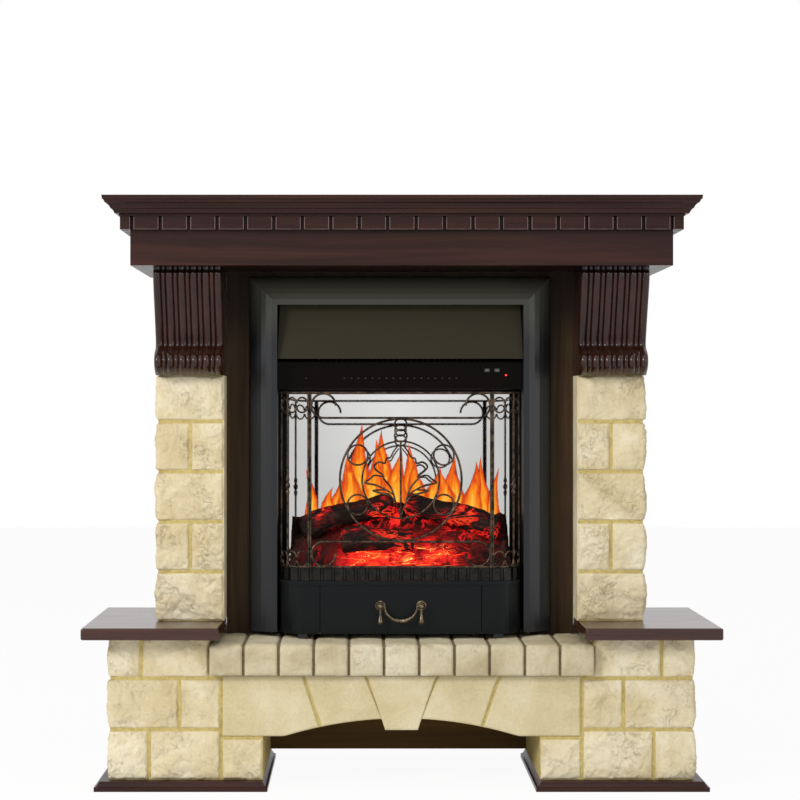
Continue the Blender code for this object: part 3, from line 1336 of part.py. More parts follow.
place(casing(), "casing", zinc_steel)
smooth(place(trim_frame(), "trim_frame", black_steel))
place(hood_plate(), "hood_plate", olive_steel)
cut(place(control_panel(), "control_panel", gloss_band), *control_holes())
place(button(BUTTON_PLACES[0]), "heat_button", grey_plastic)
place(button(BUTTON_PLACES[1]), "flame_button", grey_plastic)
place(indicator_lens(), "indicator_lens", red_lens)
place(heater_housing(), "heater_housing", zinc_steel)
place(blower_wheel(), "blower_wheel", grey_plastic)
place(motor(HOUSING_HALF + GAP, BLOWER_Y, BLOWER_Z, MOTOR_LENGTH, MOTOR_BORE), "blower_motor", zinc_steel)
place(heating_element(), "heating_element", zinc_steel)
place(flame_screen(), "flame_screen", mirror_screen)
place(flame_rotor(), "flame_rotor", zinc_steel)
place(motor(ROTOR_MOTOR_X, LIGHT_BAY_Y, ROTOR_Z, MOTOR_LENGTH, MOTOR_BORE), "rotor_motor", zinc_steel)
place(led_board(), "led_board", board_green)
place(base_shelf(), "base_shelf", black_steel)
smooth(place(fluted_rail(), "fluted_rail", iron))
place(base_floor(), "base_floor", zinc_steel)
place(drawer_front(), "drawer_front", black_steel)
place(drawer_tray(), "drawer_tray", zinc_steel)
place(bail_handle(), "bail_handle", antique_brass)
place(fender_front(), "fender_front", iron)
place(cord_gland(), "cord_gland", black_plastic)

log_right = tuple((-x, y, z) for x, y, z in LOG_LEFT)
embers = place(ember_bed(), "ember_bed", ember)
for name, ends in (("log_left", LOG_LEFT), ("log_right", log_right), ("log_centre", LOG_CENTRE)):
    place(log(ends, LOG_RADIUS), name, bark)
    cut(embers, log(ends, LOG_RADIUS + GAP))
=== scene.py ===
"""Looks of the electric fireplace suite: stones, timber, ironwork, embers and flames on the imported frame."""
import math

import bmesh
import bpy
from mathutils import Matrix, Vector, noise


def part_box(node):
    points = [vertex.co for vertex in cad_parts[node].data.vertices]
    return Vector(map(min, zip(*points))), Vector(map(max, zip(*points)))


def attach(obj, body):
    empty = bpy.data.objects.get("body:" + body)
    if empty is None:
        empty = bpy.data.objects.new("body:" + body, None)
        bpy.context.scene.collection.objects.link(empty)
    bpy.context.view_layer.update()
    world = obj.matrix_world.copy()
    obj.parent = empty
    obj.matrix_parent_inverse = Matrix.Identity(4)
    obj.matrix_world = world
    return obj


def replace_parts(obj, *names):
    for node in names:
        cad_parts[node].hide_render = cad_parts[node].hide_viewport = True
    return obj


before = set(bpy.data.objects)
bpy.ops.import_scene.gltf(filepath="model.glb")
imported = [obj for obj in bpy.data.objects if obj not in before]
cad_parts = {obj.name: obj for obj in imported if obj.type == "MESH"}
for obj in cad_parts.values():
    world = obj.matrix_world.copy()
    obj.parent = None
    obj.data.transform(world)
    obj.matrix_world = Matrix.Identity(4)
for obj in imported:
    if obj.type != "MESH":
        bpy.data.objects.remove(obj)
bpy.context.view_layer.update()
noise.seed_set(1)       # the vector noise gives the same breaks each run
PANEL_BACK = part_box("surround_panel")[1].y
SIDES = ((-1, "left"), (1, "right"))
FRONT, UP = Vector((0.0, -1.0, 0.0)), Vector((0.0, 0.0, 1.0))

# Camera: one-point view a little left of the suite's middle, from 3.45 m.
CAMERA_PLACE = (-0.0654, -3.449, 0.636)
LENS = 90.45
SENSOR = 36.0
SHIFT = (0.0475, 0.00625)

# Cladding, as in the solids.
JOINT = 0.0050          # a drawn stone reaches a little further into the joint than its solid
STONE_HEIGHT = 0.0797
PROUD = 0.0035
BED = 0.0085
FRONT_BED = 0.012
STONE_THICKNESS = 0.010
EDGE_LIP = 0.0006
CLEAR = 0.0003          # gap between pieces
PILLAR_SIDE_JOINT = 0.120
BASE_SIDE_JOINT = 0.165
SHORT_COURSE = 0.58
BASE_JOINTS = (0.4176, 0.3675, 0.4306)
BRICKS = 11
BRICK_PITCH = 0.058
BRICK_JOINT = 0.0046
BRICK_NOSE = 0.009
BRICK_GRID = 0.0028
BRICK_SKIN = 0.007
STONE_GRID = 0.0018     # spacing of the carved surface's points
BED_SINK = 0.0012       # the mortar lies this deep behind the plain cladding
DEEPEST = -0.0016       # a break stays in front of the mortar bed
SPLIT = (0.0022, 0.0034, 0.0004, 0.0028, 0.0028)      # pillar and pedestal stones
DRESSED = (0.0006, 0.0005, 0.0002, 0.0018, 0.0014)    # arch stones
COARSE = (0.0008, 0.0011, 0.0006, 0.0030, 0.0022)     # hearth bricks

ROOT = "suite"

# Looks.
FIBRE_ACROSS = 70.0
FIBRE_LENGTHWISE = 3.0
TRIM_PAINTED_LIGHT = (0.745, 0.835)      # rise over which the trim takes its lighter head colour, painted light on its upper leg
FLOOR_WHITE = 0.94      # share of plain white in the floor that the eye sees
WORLD_LIGHT = 0.42      # strength of the white world where it lights the object
LAMP_TARGET = Vector((0.0, 0.0, 0.5))
GLOW_STOPS = ((0.0, 0.0), (0.22, (0.085, 0.001, 0.001)), (0.44, (0.62, 0.004, 0.006)),
              (0.62, (0.95, 0.035, 0.010)), (0.78, (1.0, 0.17, 0.02)), (0.90, (1.0, 0.42, 0.07)),
              (1.0, (1.0, 0.80, 0.36)))


def make_camera():
    data = bpy.data.cameras.new("camera")
    data.lens = LENS
    data.sensor_width = SENSOR
    data.shift_x, data.shift_y = SHIFT
    camera = bpy.data.objects.new("camera", data)
    camera.location = CAMERA_PLACE
    camera.rotation_euler = (math.pi / 2, 0.0, 0.0)
    bpy.context.scene.collection.objects.link(camera)
    bpy.context.scene.camera = camera


class Nodes:
    """A node tree under construction, with short names for what it needs."""

    def __init__(self, tree):
        self.tree = tree

    def add(self, kind, **settings):
        node = self.tree.nodes.new(kind)
        for key, value in settings.items():
            setattr(node, key, value)
        return node

    def link(self, source, target):
        self.tree.links.new(source, target)

    def feed(self, socket, value):
        """Links a socket into another, or sets a plain number or colour on it."""
        if isinstance(value, tuple):
            socket.default_value = (*value, 1.0)
        elif isinstance(value, (int, float)):
            socket.default_value = value
        else:
            self.link(value, socket)

    def span(self, value, low, high, from_low=0.0, from_high=1.0):
        """A value moved from one range to another."""
        node = self.add("ShaderNodeMapRange")
        for socket, number in zip(("From Min", "From Max", "To Min", "To Max"),
                                  (from_low, from_high, low, high)):
            node.inputs[socket].default_value = number
        self.link(value, node.inputs["Value"])
        return node.outputs["Result"]

    def maths(self, operation, first, second=0.0):
        node = self.add("ShaderNodeMath", operation=operation)
        for socket, value in zip(node.inputs, (first, second)):
            self.feed(socket, value)
        return node.outputs["Value"]

    def times(self, first, second):
        return self.maths("MULTIPLY", first, second)

    def away(self, value, centre=0.0):
        """Distance of a value from a centre."""
        return self.maths("ABSOLUTE", self.maths("SUBTRACT", value, centre) if centre else value)

    def to_eye(self):
        """1 for the rays that show the white background, 0 for the rays that light the object."""
        rays = self.add("ShaderNodeLightPath").outputs
        mirrored = self.maths("MAXIMUM", rays["Is Glossy Ray"], rays["Is Transmission Ray"])
        return self.maths("MAXIMUM", rays["Is Camera Ray"], mirrored)


class Look(Nodes):
    """A material made of nodes round one Principled shader."""

    def __init__(self, name, roughness=0.5, metallic=0.0, colour=(0.5, 0.5, 0.5)):
        self.material = bpy.data.materials.new(name)
        self.material.use_nodes = True
        super().__init__(self.material.node_tree)
        self.shader = self.tree.nodes["Principled BSDF"]
        self.set("Roughness", roughness)
        self.set("Metallic", metallic)
        self.set("Base Color", (*colour, 1.0))
        self.place = self.add("ShaderNodeTexCoord").outputs["Object"]

    def set(self, socket, value):
        self.shader.inputs[socket].default_value = value

    def noise(self, scale, detail=4.0, roughness=0.55, distortion=0.0, vector=None):
        node = self.add("ShaderNodeTexNoise")
        for socket, value in (("Scale", scale), ("Detail", detail), ("Roughness", roughness),
                              ("Distortion", distortion)):
            node.inputs[socket].default_value = value
        self.link(vector or self.place, node.inputs["Vector"])
        return node.outputs["Fac"]

    def grain(self, scale, detail, roughness=0.5, distortion=0.0, turn=(0.0, 0.0, 0.0)):
        """Noise drawn out by a scale along each axis."""
        mapping = self.add("ShaderNodeMapping")
        mapping.inputs["Scale"].default_value = scale
        mapping.inputs["Rotation"].default_value = turn
        self.link(self.place, mapping.inputs["Vector"])
        return self.noise(1.0, detail, roughness, distortion, mapping.outputs["Vector"])

    def cells(self, scale):
        node = self.add("ShaderNodeTexVoronoi", feature="F1")
        node.inputs["Scale"].default_value = scale
        self.link(self.place, node.inputs["Vector"])
        return node.outputs["Distance"]

    def ramp(self, value, *stops):
        """A colour ramp; a stop is (place, colour), and the colour (r, g, b) or one grey."""
        node = self.add("ShaderNodeValToRGB")
        elements = node.color_ramp.elements
        while len(elements) < len(stops):
            elements.new(0.5)
        for element, (where, colour) in zip(elements, stops):
            element.position = where
            element.color = (*colour, 1.0) if isinstance(colour, tuple) else (colour, colour, colour, 1.0)
        self.link(value, node.inputs["Fac"])
        return node.outputs["Color"]

    def mix(self, first, second, share, blend="MIX"):
        """Mixes two colours; each may be a socket or plain (r, g, b)."""
        node = self.add("ShaderNodeMix", data_type="RGBA", blend_type=blend)
        for socket, value in (("Factor", share), (6, first), (7, second)):
            self.feed(node.inputs[socket], value)
        return node.outputs[2]

    def axis(self, name):
        """One object coordinate."""
        node = self.add("ShaderNodeSeparateXYZ")
        self.link(self.place, node.inputs["Vector"])
        return node.outputs[name]

    def colour(self, socket):
        self.link(socket, self.shader.inputs["Base Color"])

    def roughness(self, socket):
        self.link(socket, self.shader.inputs["Roughness"])

    def bump(self, height, distance, strength=1.0):
        """A bump on top of those that are there."""
        node = self.add("ShaderNodeBump")
        node.inputs["Strength"].default_value = strength
        node.inputs["Distance"].default_value = distance
        self.link(height, node.inputs["Height"])
        normal = self.shader.inputs["Normal"]
        if normal.links:
            self.link(normal.links[0].from_socket, node.inputs["Normal"])
        self.link(node.outputs["Normal"], normal)

    def glow(self, heat, strength):
        """Emission from black through deep red to yellow, by how hot a point is."""
        self.link(self.ramp(heat, *GLOW_STOPS), self.shader.inputs["Emission Color"])
        self.set("Emission Strength", strength)


def srgb(red, green, blue):
    """Linear colour from an 8-bit screen colour."""
    def channel(value):
        value /= 255.0
        return value / 12.92 if value <= 0.04045 else ((value + 0.055) / 1.055) ** 2.4
    return (channel(red), channel(green), channel(blue))


def shade_of(colour, share):
    return tuple(share * value for value in colour)


def wood(name, dark, light, along, roughness=0.32, specular=0.16, coat=0.06, painted_shadow=None):
    """Stained timber; along is X, Y or Z, the way its fibres run; painted_shadow is a rise over which a
    painted shadow darkens it.
    """
    look = Look(name, roughness)
    scale = Vector([FIBRE_LENGTHWISE if axis == along else FIBRE_ACROSS for axis in "XYZ"])
    fibres = look.grain(scale, 7.0, 0.62, 0.35)
    figure = look.grain(0.25 * scale, 3.0, 0.5, 0.8)
    between = tuple((a + b) / 2 for a, b in zip(dark, light))
    streaks = look.ramp(fibres, (0.30, dark), (0.52, between), (0.72, light))
    bands = look.ramp(figure, (0.35, (0.84, 0.82, 0.82)), (0.65, (1.08, 1.06, 1.04)))
    tint = look.mix(streaks, bands, 1.0, "MULTIPLY")
    if painted_shadow:
        # painted shadow: the colour darkens by up to 0.55 over the rise, darkest at its top
        tint = look.mix(tint, (0.0, 0.0, 0.0), look.span(look.axis("Z"), 0.0, 0.55, *painted_shadow))
    look.colour(tint)
    pores = look.grain(3.5 * scale, 2.0)
    look.roughness(look.span(pores, roughness - 0.07, roughness + 0.12))
    look.bump(pores, 0.00015, 0.5)
    look.bump(fibres, 0.0002, 0.4)
    look.set("Specular IOR Level", specular)
    look.set("Coat Weight", coat)
    look.set("Coat Roughness", 0.22)
    return look.material


def masonry(name, base, pale, stain, grain_depth=0.0003, pits=True, creases=0.0):
    """Cast stone: mottled cream with sandy grain, small pits and, on a split face, fine creases that are
    bumped and darkened with painted shade.
    """
    look = Look(name, 0.93)
    tint = look.ramp(look.noise(9.0, 5.0, 0.6, 0.4), (0.32, stain), (0.50, base), (0.70, pale))
    grains = look.ramp(look.noise(260.0, 3.0, 0.7), (0.30, (0.91, 0.90, 0.88)), (0.55, 1.0),
                       (0.80, (1.05, 1.045, 1.04)))
    tint = look.mix(tint, grains, 1.0, "MULTIPLY")
    if creases:
        thin = look.span(look.away(look.noise(58.0, 6.0, 0.68, 1.1), 0.5), 1.0, 0.0, 0.0, 0.016)
        crack = look.times(thin, look.span(look.noise(17.0, 3.0), 0.0, creases, 0.50, 0.60))
        # painted shade: the thin creases darken towards a dark ochre, on top of their bump
        tint = look.mix(tint, (0.46, 0.38, 0.25), crack)
        look.bump(look.maths("SUBTRACT", 1.0, crack), 0.0012, 0.8)
    look.colour(tint)
    look.bump(look.noise(420.0, 4.0, 0.65), grain_depth, 0.5)
    look.bump(look.noise(70.0, 5.0, 0.6, 0.6), 0.0012, 0.5)
    if pits:
        holes = look.ramp(look.cells(170.0), (0.0, 0.0), (0.28, 1.0))
        mask = look.ramp(look.noise(60.0, 2.0), (0.48, 1.0), (0.60, 0.0))
        look.bump(look.mix(holes, (1.0, 1.0, 1.0), mask), 0.0008, 0.6)
    return look.material


def mortar(name, colour, dark):
    """Sandy joint between stones."""
    look = Look(name, 0.95)
    look.colour(look.ramp(look.noise(140.0, 5.0, 0.7), (0.30, dark), (0.62, colour)))
    look.bump(look.noise(500.0, 4.0, 0.7), 0.0006, 0.8)
    return look.material


def enamel(name, colour, roughness, specular, grain=900.0, depth=0.00006, head=None):
    """Painted steel with a fine orange-peel surface; head is a lighter colour taken above the opening, painted
    light on the trim's upper leg.
    """
    look = Look(name, roughness)
    look.set("Specular IOR Level", specular)
    patches = look.noise(6.0, 4.0, 0.6)
    tint = look.ramp(patches, (0.30, shade_of(colour, 0.96)), (0.70, shade_of(colour, 1.04)))
    if head:
        # painted light: over this rise the colour turns to the lighter head colour
        tint = look.mix(tint, head, look.span(look.axis("Z"), 0.0, 1.0, *TRIM_PAINTED_LIGHT))
    look.colour(tint)
    look.roughness(look.span(look.noise(38.0, 3.0, 0.5), roughness - 0.02, roughness + 0.02))
    look.bump(look.noise(grain, 3.0, 0.6), depth, 0.6)
    return look.material


def sheet_metal(name, colour, roughness):
    """Zinc-coated sheet."""
    look = Look(name, roughness, 1.0)
    look.colour(look.ramp(look.cells(90.0), (0.0, shade_of(colour, 0.80)), (0.6, colour)))
    look.roughness(look.span(look.noise(30.0, 4.0), roughness - 0.08, roughness + 0.10))
    look.bump(look.grain((900.0, 900.0, 20.0), 3.0), 0.00004, 0.5)
    return look.material


def wrought(name, dark, rubbed):
    """Dark bronzed iron, rubbed brighter in places."""
    look = Look(name, 0.34, 0.75)
    look.colour(look.ramp(look.noise(110.0, 5.0, 0.65), (0.40, dark), (0.72, rubbed)))
    look.roughness(look.span(look.noise(200.0, 4.0), 0.26, 0.48))
    look.bump(look.noise(700.0, 4.0, 0.6), 0.0001, 0.7)
    return look.material


def plastic(name, colour, roughness):
    look = Look(name, roughness)
    look.colour(look.ramp(look.noise(40.0, 3.0), (0.3, shade_of(colour, 0.9)), (0.7, shade_of(colour, 1.1))))
    look.bump(look.noise(1500.0, 2.0), 0.00004, 0.5)
    return look.material


def new_object(name, mesh, material, body=ROOT, smooth_angle=40.0):
    obj = bpy.data.objects.new(name, mesh)
    bpy.context.scene.collection.objects.link(obj)
    mesh.materials.append(material)
    if smooth_angle:
        mesh.shade_smooth()
        mesh.set_sharp_from_angle(angle=math.radians(smooth_angle))
    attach(obj, body)
    return obj


def closed_mesh(name, points, faces):
    """A mesh whose faces all look outwards."""
    mesh = bpy.data.meshes.new(name)
    mesh.from_pydata(points, [], faces)
    bm = bmesh.new()
    bm.from_mesh(mesh)
    bmesh.ops.recalc_face_normals(bm, faces=bm.faces[:])
    bm.to_mesh(mesh)
    bm.free()
    return mesh


def ring_faces(rings, steps):
    """Faces between rings of points, each ring this many steps round."""
    return [(ring * steps + step, (ring + 1) * steps + step, (ring + 1) * steps + (step + 1) % steps,
             ring * steps + (step + 1) % steps) for ring in range(rings) for step in range(steps)]


def grid_mesh(name, outer, inner):
    """A closed slab between two grids of points of the same size, rows of columns."""
    rows, columns = len(outer), len(outer[0])
    points = [point for grid in (outer, inner) for row in grid for point in row]
    back = rows * columns
    faces = []
    for row in range(rows - 1):
        for column in range(columns - 1):
            here = row * columns + column
            faces.append((here, here + 1, here + columns + 1, here + columns))
            there = here + back
            faces.append((there, there + columns, there + columns + 1, there + 1))
    rim = list(range(columns))
    rim += [row * columns + columns - 1 for row in range(1, rows)]
    rim += [(rows - 1) * columns + column for column in range(columns - 2, -1, -1)]
    rim += [row * columns for row in range(rows - 2, 0, -1)]
    for here, following in zip(rim, rim[1:] + rim[:1]):
        faces.append((following, here, here + back, following + back))
    return closed_mesh(name, points, faces)


def slab_of(name, rows, columns, pair_at):
    """A closed slab whose outer and inner point at each row and column come from pair_at."""
    pairs = [[pair_at(row, column) for column in range(columns)] for row in range(rows)]
    return grid_mesh(name, *([[pair[face] for pair in row] for row in pairs] for face in (0, 1)))


def ease(value):
    value = max(0.0, min(1.0, value))
    return value * value * (3.0 - 2.0 * value)


def broken(where):
    """1 in the thin, wandering creases of a split face, and 0 between them."""
    bent = where * 44.0 + 0.6 * noise.noise_vector(where * 95.0)
    crease = 1.0 - ease(abs(noise.noise(bent)) / 0.13)
    return crease * ease(0.5 + 1.6 * noise.noise(where * 21.0 + Vector((9.0, 4.0, 2.0))))


def carved(point, edge, carve, seed):
    """How far a split face stands out at a point that is this far from the stone's edge.

    carve holds the stone's bulge, its facets' depth, its grain's depth, and the width and depth of
    its chipped edge.
    """
    bulge, facets, grain, width, drop = carve
    where = point + Vector((seed * 1.7, seed * 0.9, seed * 2.3))
    broad = noise.noise(where * 26.0)
    ragged = noise.noise(where * 75.0)
    fine = noise.noise(where * 190.0)
    warp = 0.35 * noise.noise_vector(where * 60.0)
    ledges = 2.6 * noise.noise(where * 34.0 + Vector((5.0, 3.0, 1.0)) + warp)
    step = math.floor(ledges)
    flaked = (step + ease((ledges - step) * 3.2)) / 2.6
    chipped = width * (1.0 + 0.9 * ragged + 0.5 * fine)
    inside = ease(edge / max(chipped, 0.0008))
    height = bulge * ease(edge / 0.022) + facets * (0.7 * broad + flaked + 0.34 * ragged) * inside
    height -= 0.46 * facets * ease(edge / 0.008) * broken(where)
    return max(height, DEEPEST) + grain * fine - drop * (1.0 - inside)


def path_stone(name, path, low, high, seed):
    """A split stone's upright face along a path, straight or round corners.

    path is a list of (point, outward normal) with a corner given twice, once for each face.
    """
    stretches = list(zip(path[::2], path[1::2]))
    lengths = [(end[0] - start[0]).length for start, end in stretches]
    total = sum(lengths)
    corners = [sum(lengths[:count]) for count in range(1, len(lengths))]
    columns = []
    gone = 0.0
    for number, ((start, end), length) in enumerate(zip(stretches, lengths)):
        steps = max(2, round(length / STONE_GRID))
        last = number == len(stretches) - 1
        for step in range(steps + (1 if last else 0)):
            share = step / steps
            along = gone + share * length
            normal = start[1].copy()
            if step == 0 and number:
                normal = normal + stretches[number - 1][1][1]
            corner = min([abs(along - mark) for mark in corners] + [total])
            columns.append((start[0].lerp(end[0], share), normal, along, corner))
        gone += length
    rows = max(2, round((high - low) / STONE_GRID))
    chipped, drop = SPLIT[3:]

    def pair_at(row, column):
        up = low + (high - low) * row / rows
        spot, normal, along, corner = columns[column]
        point = spot + UP * up
        height = carved(point, min(along, total - along, up - low, high - up), SPLIT, seed)
        height -= 0.7 * drop * (1.0 - ease(corner / chipped))
        return tuple(point + normal * height), tuple(point - normal * STONE_THICKNESS)

    return slab_of(name, rows + 1, len(columns), pair_at)


def split_stone_at(name, corners, levels, side, seed, material):
    """A split stone; corners are the (x, y) places of its face, from its inner end round towards the wall."""
    path = []
    for (x, y), (next_x, next_y) in zip(corners, corners[1:]):
        normal = FRONT if y == next_y else Vector((side, 0.0, 0.0))
        path += [(Vector((side * x, y, 0.0)), normal), (Vector((side * next_x, next_y, 0.0)), normal)]
    add_stone(path_stone(name, path, *levels, seed), material)


def corner_stones(name, start, outer, front, length, wall, levels, side, seed, material):
    """The stone that turns the corner and the one that runs on to the wall."""
    joint = front + length
    split_stone_at(f"{name}_corner", [(start, front), (outer, front), (outer, joint - JOINT / 2)], levels,
                   side, seed, material)
    split_stone_at(f"{name}_side", [(outer, joint + JOINT / 2), (outer, wall - EDGE_LIP)], levels,
                   side, seed + 1.0, material)


def slabs(name, boxes, material, body=ROOT):
    """One piece made of touching boxes, each given by two corners."""
    bm = bmesh.new()
    for low, high in boxes:
        low, high = Vector(low), Vector(high)
        made = bmesh.ops.create_cube(bm, size=1.0)["verts"]
        bmesh.ops.scale(bm, vec=high - low, verts=made)
        bmesh.ops.translate(bm, vec=(low + high) / 2, verts=made)
    mesh = bpy.data.meshes.new(name)
    bm.to_mesh(mesh)
    bm.free()
    return new_object(name, mesh, material, body, smooth_angle=None)


def sided(side, near, far, y_low, y_high, z_low, z_high):
    low, high = sorted((side * near, side * far))
    return ((low, y_low, z_low), (high, y_high, z_high))


def course_levels(bottom, top):
    levels = []
    low = bottom + EDGE_LIP
    while top - EDGE_LIP - low > STONE_HEIGHT / 4:
        levels.append((low, min(low + STONE_HEIGHT, top - EDGE_LIP)))
        low += STONE_HEIGHT + JOINT
    return levels


def add_stone(mesh, material):
    return new_object(mesh.name, mesh, material, smooth_angle=60.0)


def pillar_stones(side, hand, stone, joint):
    """Carved stones and mortar round a pillar, in place of its plain cladding."""
    low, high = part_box("pillar_cladding_right")
    inner, outer, front, wall, bottom, top = low.x, high.x, low.y, high.y, low.z, high.z
    core = front + PROUD + FRONT_BED
    skin = outer - PROUD
    bed = slabs(f"pillar_mortar_{hand}", [
        sided(side, inner, skin + 0.001, front + PROUD - BED_SINK, core, bottom, top),
        sided(side, skin - BED + 0.0004, skin + 0.001, core, wall, bottom, top),
        sided(side, inner, inner + BED - 0.0006, core, PANEL_BACK, bottom, top)], joint)
    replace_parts(bed, f"pillar_cladding_{hand}")
    slabs(f"pillar_return_{hand}", [sided(side, inner - 0.0002, inner + 0.0012, front + 0.0022, PANEL_BACK,
                                          bottom, top)], stone)
    middle = (inner + outer) / 2
    for index, levels in enumerate(course_levels(bottom, top)):
        name = f"pillar_stone_{hand}_{index}"
        split = index % 2 == 1
        seed = 10.0 * index + 3.0 * side + 40.0
        start = inner + EDGE_LIP
        if split:
            split_stone_at(f"{name}_inner", [(start, front), (middle - JOINT / 2, front)], levels, side,
                           seed + 1.0, stone)
            start = middle + JOINT / 2
        corner_stones(name, start, outer, front, PILLAR_SIDE_JOINT * (SHORT_COURSE if split else 1.0), wall,
                      levels, side, seed + 2.0, stone)


def pedestal_stones(side, hand, stone, joint):
    """Carved stones and mortar round a pedestal, in place of its plain cladding."""
    low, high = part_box("base_cladding_right")
    brick_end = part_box("hearth_bricks")[1].x + 0.0015
    arch_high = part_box("arch_cladding")[1]
    inner, outer, front, wall, bottom, top = low.x, high.x, low.y, high.y, low.z, high.z
    core = front + PROUD + FRONT_BED - CLEAR
    bed_face = front + PROUD - BED_SINK
    arch_end = arch_high.x + CLEAR
    skin = outer - PROUD
    bed = slabs(f"pedestal_mortar_{hand}", [
        sided(side, inner, arch_end, bed_face, core, bottom, ARCH_SPRING - CLEAR),
        sided(side, arch_end, brick_end, bed_face, core, bottom, arch_high.z),
        sided(side, brick_end, skin + 0.001, bed_face, core, bottom, top),
        sided(side, skin - BED + CLEAR, skin + 0.001, core, wall, bottom, top),
        sided(side, inner, inner + BED - CLEAR, core, wall, bottom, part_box("hearth_deck")[0].z - CLEAR)],
        joint)
    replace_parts(bed, f"base_cladding_{hand}")
    split_stone_at(f"leg_stone_{hand}", [(inner + EDGE_LIP, front), (arch_end - JOINT / 2, front)],
                   (bottom + EDGE_LIP, ARCH_SPRING - JOINT), side, 70.0 + side, stone)
    for index, levels in enumerate(course_levels(bottom, top)):
        name = f"pedestal_stone_{hand}_{index}"
        start = brick_end + EDGE_LIP if levels[1] > arch_high.z else arch_end + JOINT / 2
        middle = BASE_JOINTS[index]
        seed = 90.0 + 9.0 * index + 2.0 * side
        split_stone_at(f"{name}_inner", [(start, front), (middle - JOINT / 2, front)], levels, side, seed,
                       stone)
        corner_stones(name, middle + JOINT / 2, outer, front,
                      BASE_SIDE_JOINT * (SHORT_COURSE if index % 2 else 1.0), wall, levels, side, seed + 1.0,
                      stone)


ARCH_SPRING = 0.0876
ARCH_RADIUS = 0.654
ARCH_CROWN = 0.117
VOUSSOIR_FOOT = 0.1343
VOUSSOIR_HEAD = 0.1625
KEY_FOOT = 0.0269
KEY_HEAD = 0.0597
KEY_DROP = 0.0186
ARCH_STEPS = 48


def arch_height(x):
    return max(ARCH_SPRING, ARCH_CROWN - ARCH_RADIUS + math.sqrt(ARCH_RADIUS ** 2 - x ** 2))


def arch_stone(name, foot, head, bottom, top, y, side, seed, thickness=0.008, key=False):
    """A voussoir between two slanting ends; foot and head are its (inner, outer) places."""
    width = max(head[1] - head[0], foot[1] - foot[0])
    columns, rows = round(width / STONE_GRID), round((top - bottom) / STONE_GRID)

    def pair_at(row, column):
        up, across = row / rows, column / columns
        x_foot = foot[0] + (foot[1] - foot[0]) * across
        x = x_foot + (head[0] + (head[1] - head[0]) * across - x_foot) * up
        base = bottom if key else arch_height(x_foot) + EDGE_LIP
        z = base + (top - base) * up
        span = (foot[1] - foot[0]) * (1 - up) + (head[1] - head[0]) * up
        edge = min(across * span, (1 - across) * span, z - base, top - z)
        height = carved(Vector((side * x, y, z)), edge, DRESSED, seed)
        return (side * x, y - height, z), (side * x, y + thickness, z)

    return slab_of(name, rows + 1, columns + 1, pair_at)


def arch_stones(stone, joint):
    """Dressed springers, voussoirs and keystone on a bed that follows the arch."""
    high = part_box("arch_cladding")[1]
    top, end = high.z - EDGE_LIP, high.x
    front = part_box("base_cladding_right")[0].y
    places = [-end + 2 * end * step / ARCH_STEPS for step in range(ARCH_STEPS + 1)]
    rows = [[[(x, y, arch_height(x)) for x in places], [(x, y, high.z) for x in places]]
            for y in (front + PROUD - 0.001, high.y)]
    bed = new_object("arch_mortar", grid_mesh("arch_mortar", *rows), joint)
    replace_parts(bed, "arch_cladding")
    half = JOINT / 2
    for side, hand in SIDES:
        for name, seed, foot, head in (
                ("springer", 130.0, (VOUSSOIR_FOOT + half, end - half), (VOUSSOIR_HEAD + half, end - half)),
                ("voussoir", 140.0, (KEY_FOOT + JOINT, VOUSSOIR_FOOT - half),
                 (KEY_HEAD + half, VOUSSOIR_HEAD - half))):
            add_stone(arch_stone(f"{name}_{hand}", foot, head, ARCH_SPRING, top, front, side, seed + side),
                      stone)
    add_stone(arch_stone("keystone", (-KEY_FOOT, KEY_FOOT), (-KEY_HEAD + half, KEY_HEAD - half),
                         ARCH_CROWN - KEY_DROP, top, front - 0.002, 1, 150.0, 0.015, True), stone)


def hearth_brick_row(stone, joint):
    """Rough bricks with a worn nose, in place of the plain row."""
    low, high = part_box("hearth_bricks")
    front, wall, bottom, top = low.y, high.y, low.z, high.z
    bed = slabs("hearth_mortar", [((low.x + 0.002, front + 0.0045, bottom + EDGE_LIP),
                                   (high.x - 0.002, wall - EDGE_LIP, top - 0.0024))], joint)
    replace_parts(bed, "hearth_bricks")
    section = [(Vector((0.0, front, bottom)), FRONT), (Vector((0.0, front, top - BRICK_NOSE)), FRONT)]
    for step in range(1, 6):
        angle = math.pi / 2 * step / 6
        normal = Vector((0.0, -math.cos(angle), math.sin(angle)))
        section.append((Vector((0.0, front + BRICK_NOSE, top - BRICK_NOSE)) + normal * BRICK_NOSE, normal))
    section += [(Vector((0.0, front + BRICK_NOSE, top)), UP), (Vector((0.0, wall, top)), UP)]
    for index in range(BRICKS):
        start = low.x + index * BRICK_PITCH
        mesh = brick(f"hearth_brick_{index}", section, start, start + BRICK_PITCH - BRICK_JOINT,
                     160.0 + 5.0 * index)
        new_object(mesh.name, mesh, stone, smooth_angle=60.0)


def brick(name, section, low, high, seed):
    """A brick whose face runs up its front, over its nose and back to the wall."""
    points = []
    for (here, normal), (there, after) in zip(section, section[1:]):
        length = (there - here).length
        far = here.y > section[0][0].y + 0.05 or length > 0.1
        steps = max(1, round(length / (0.0035 if not far else 0.006)))
        for step in range(steps):
            share = step / steps
            points.append((here.lerp(there, share), normal.lerp(after, share).normalized()))
    points.append(section[-1])
    total = [0.0]
    for (here, _), (there, _) in zip(points, points[1:]):
        total.append(total[-1] + (there - here).length)
    columns = round((high - low) / BRICK_GRID)

    def pair_at(column, place):
        x = low + (high - low) * column / columns
        spot, normal = points[place]
        point = spot + Vector((x, 0.0, 0.0))
        edge = min(x - low, high - x, total[place], total[-1] - total[place])
        height = carved(point, edge, COARSE, seed)
        return tuple(point + normal * height), tuple(point - normal * BRICK_SKIN)

    return slab_of(name, columns + 1, len(points), pair_at)


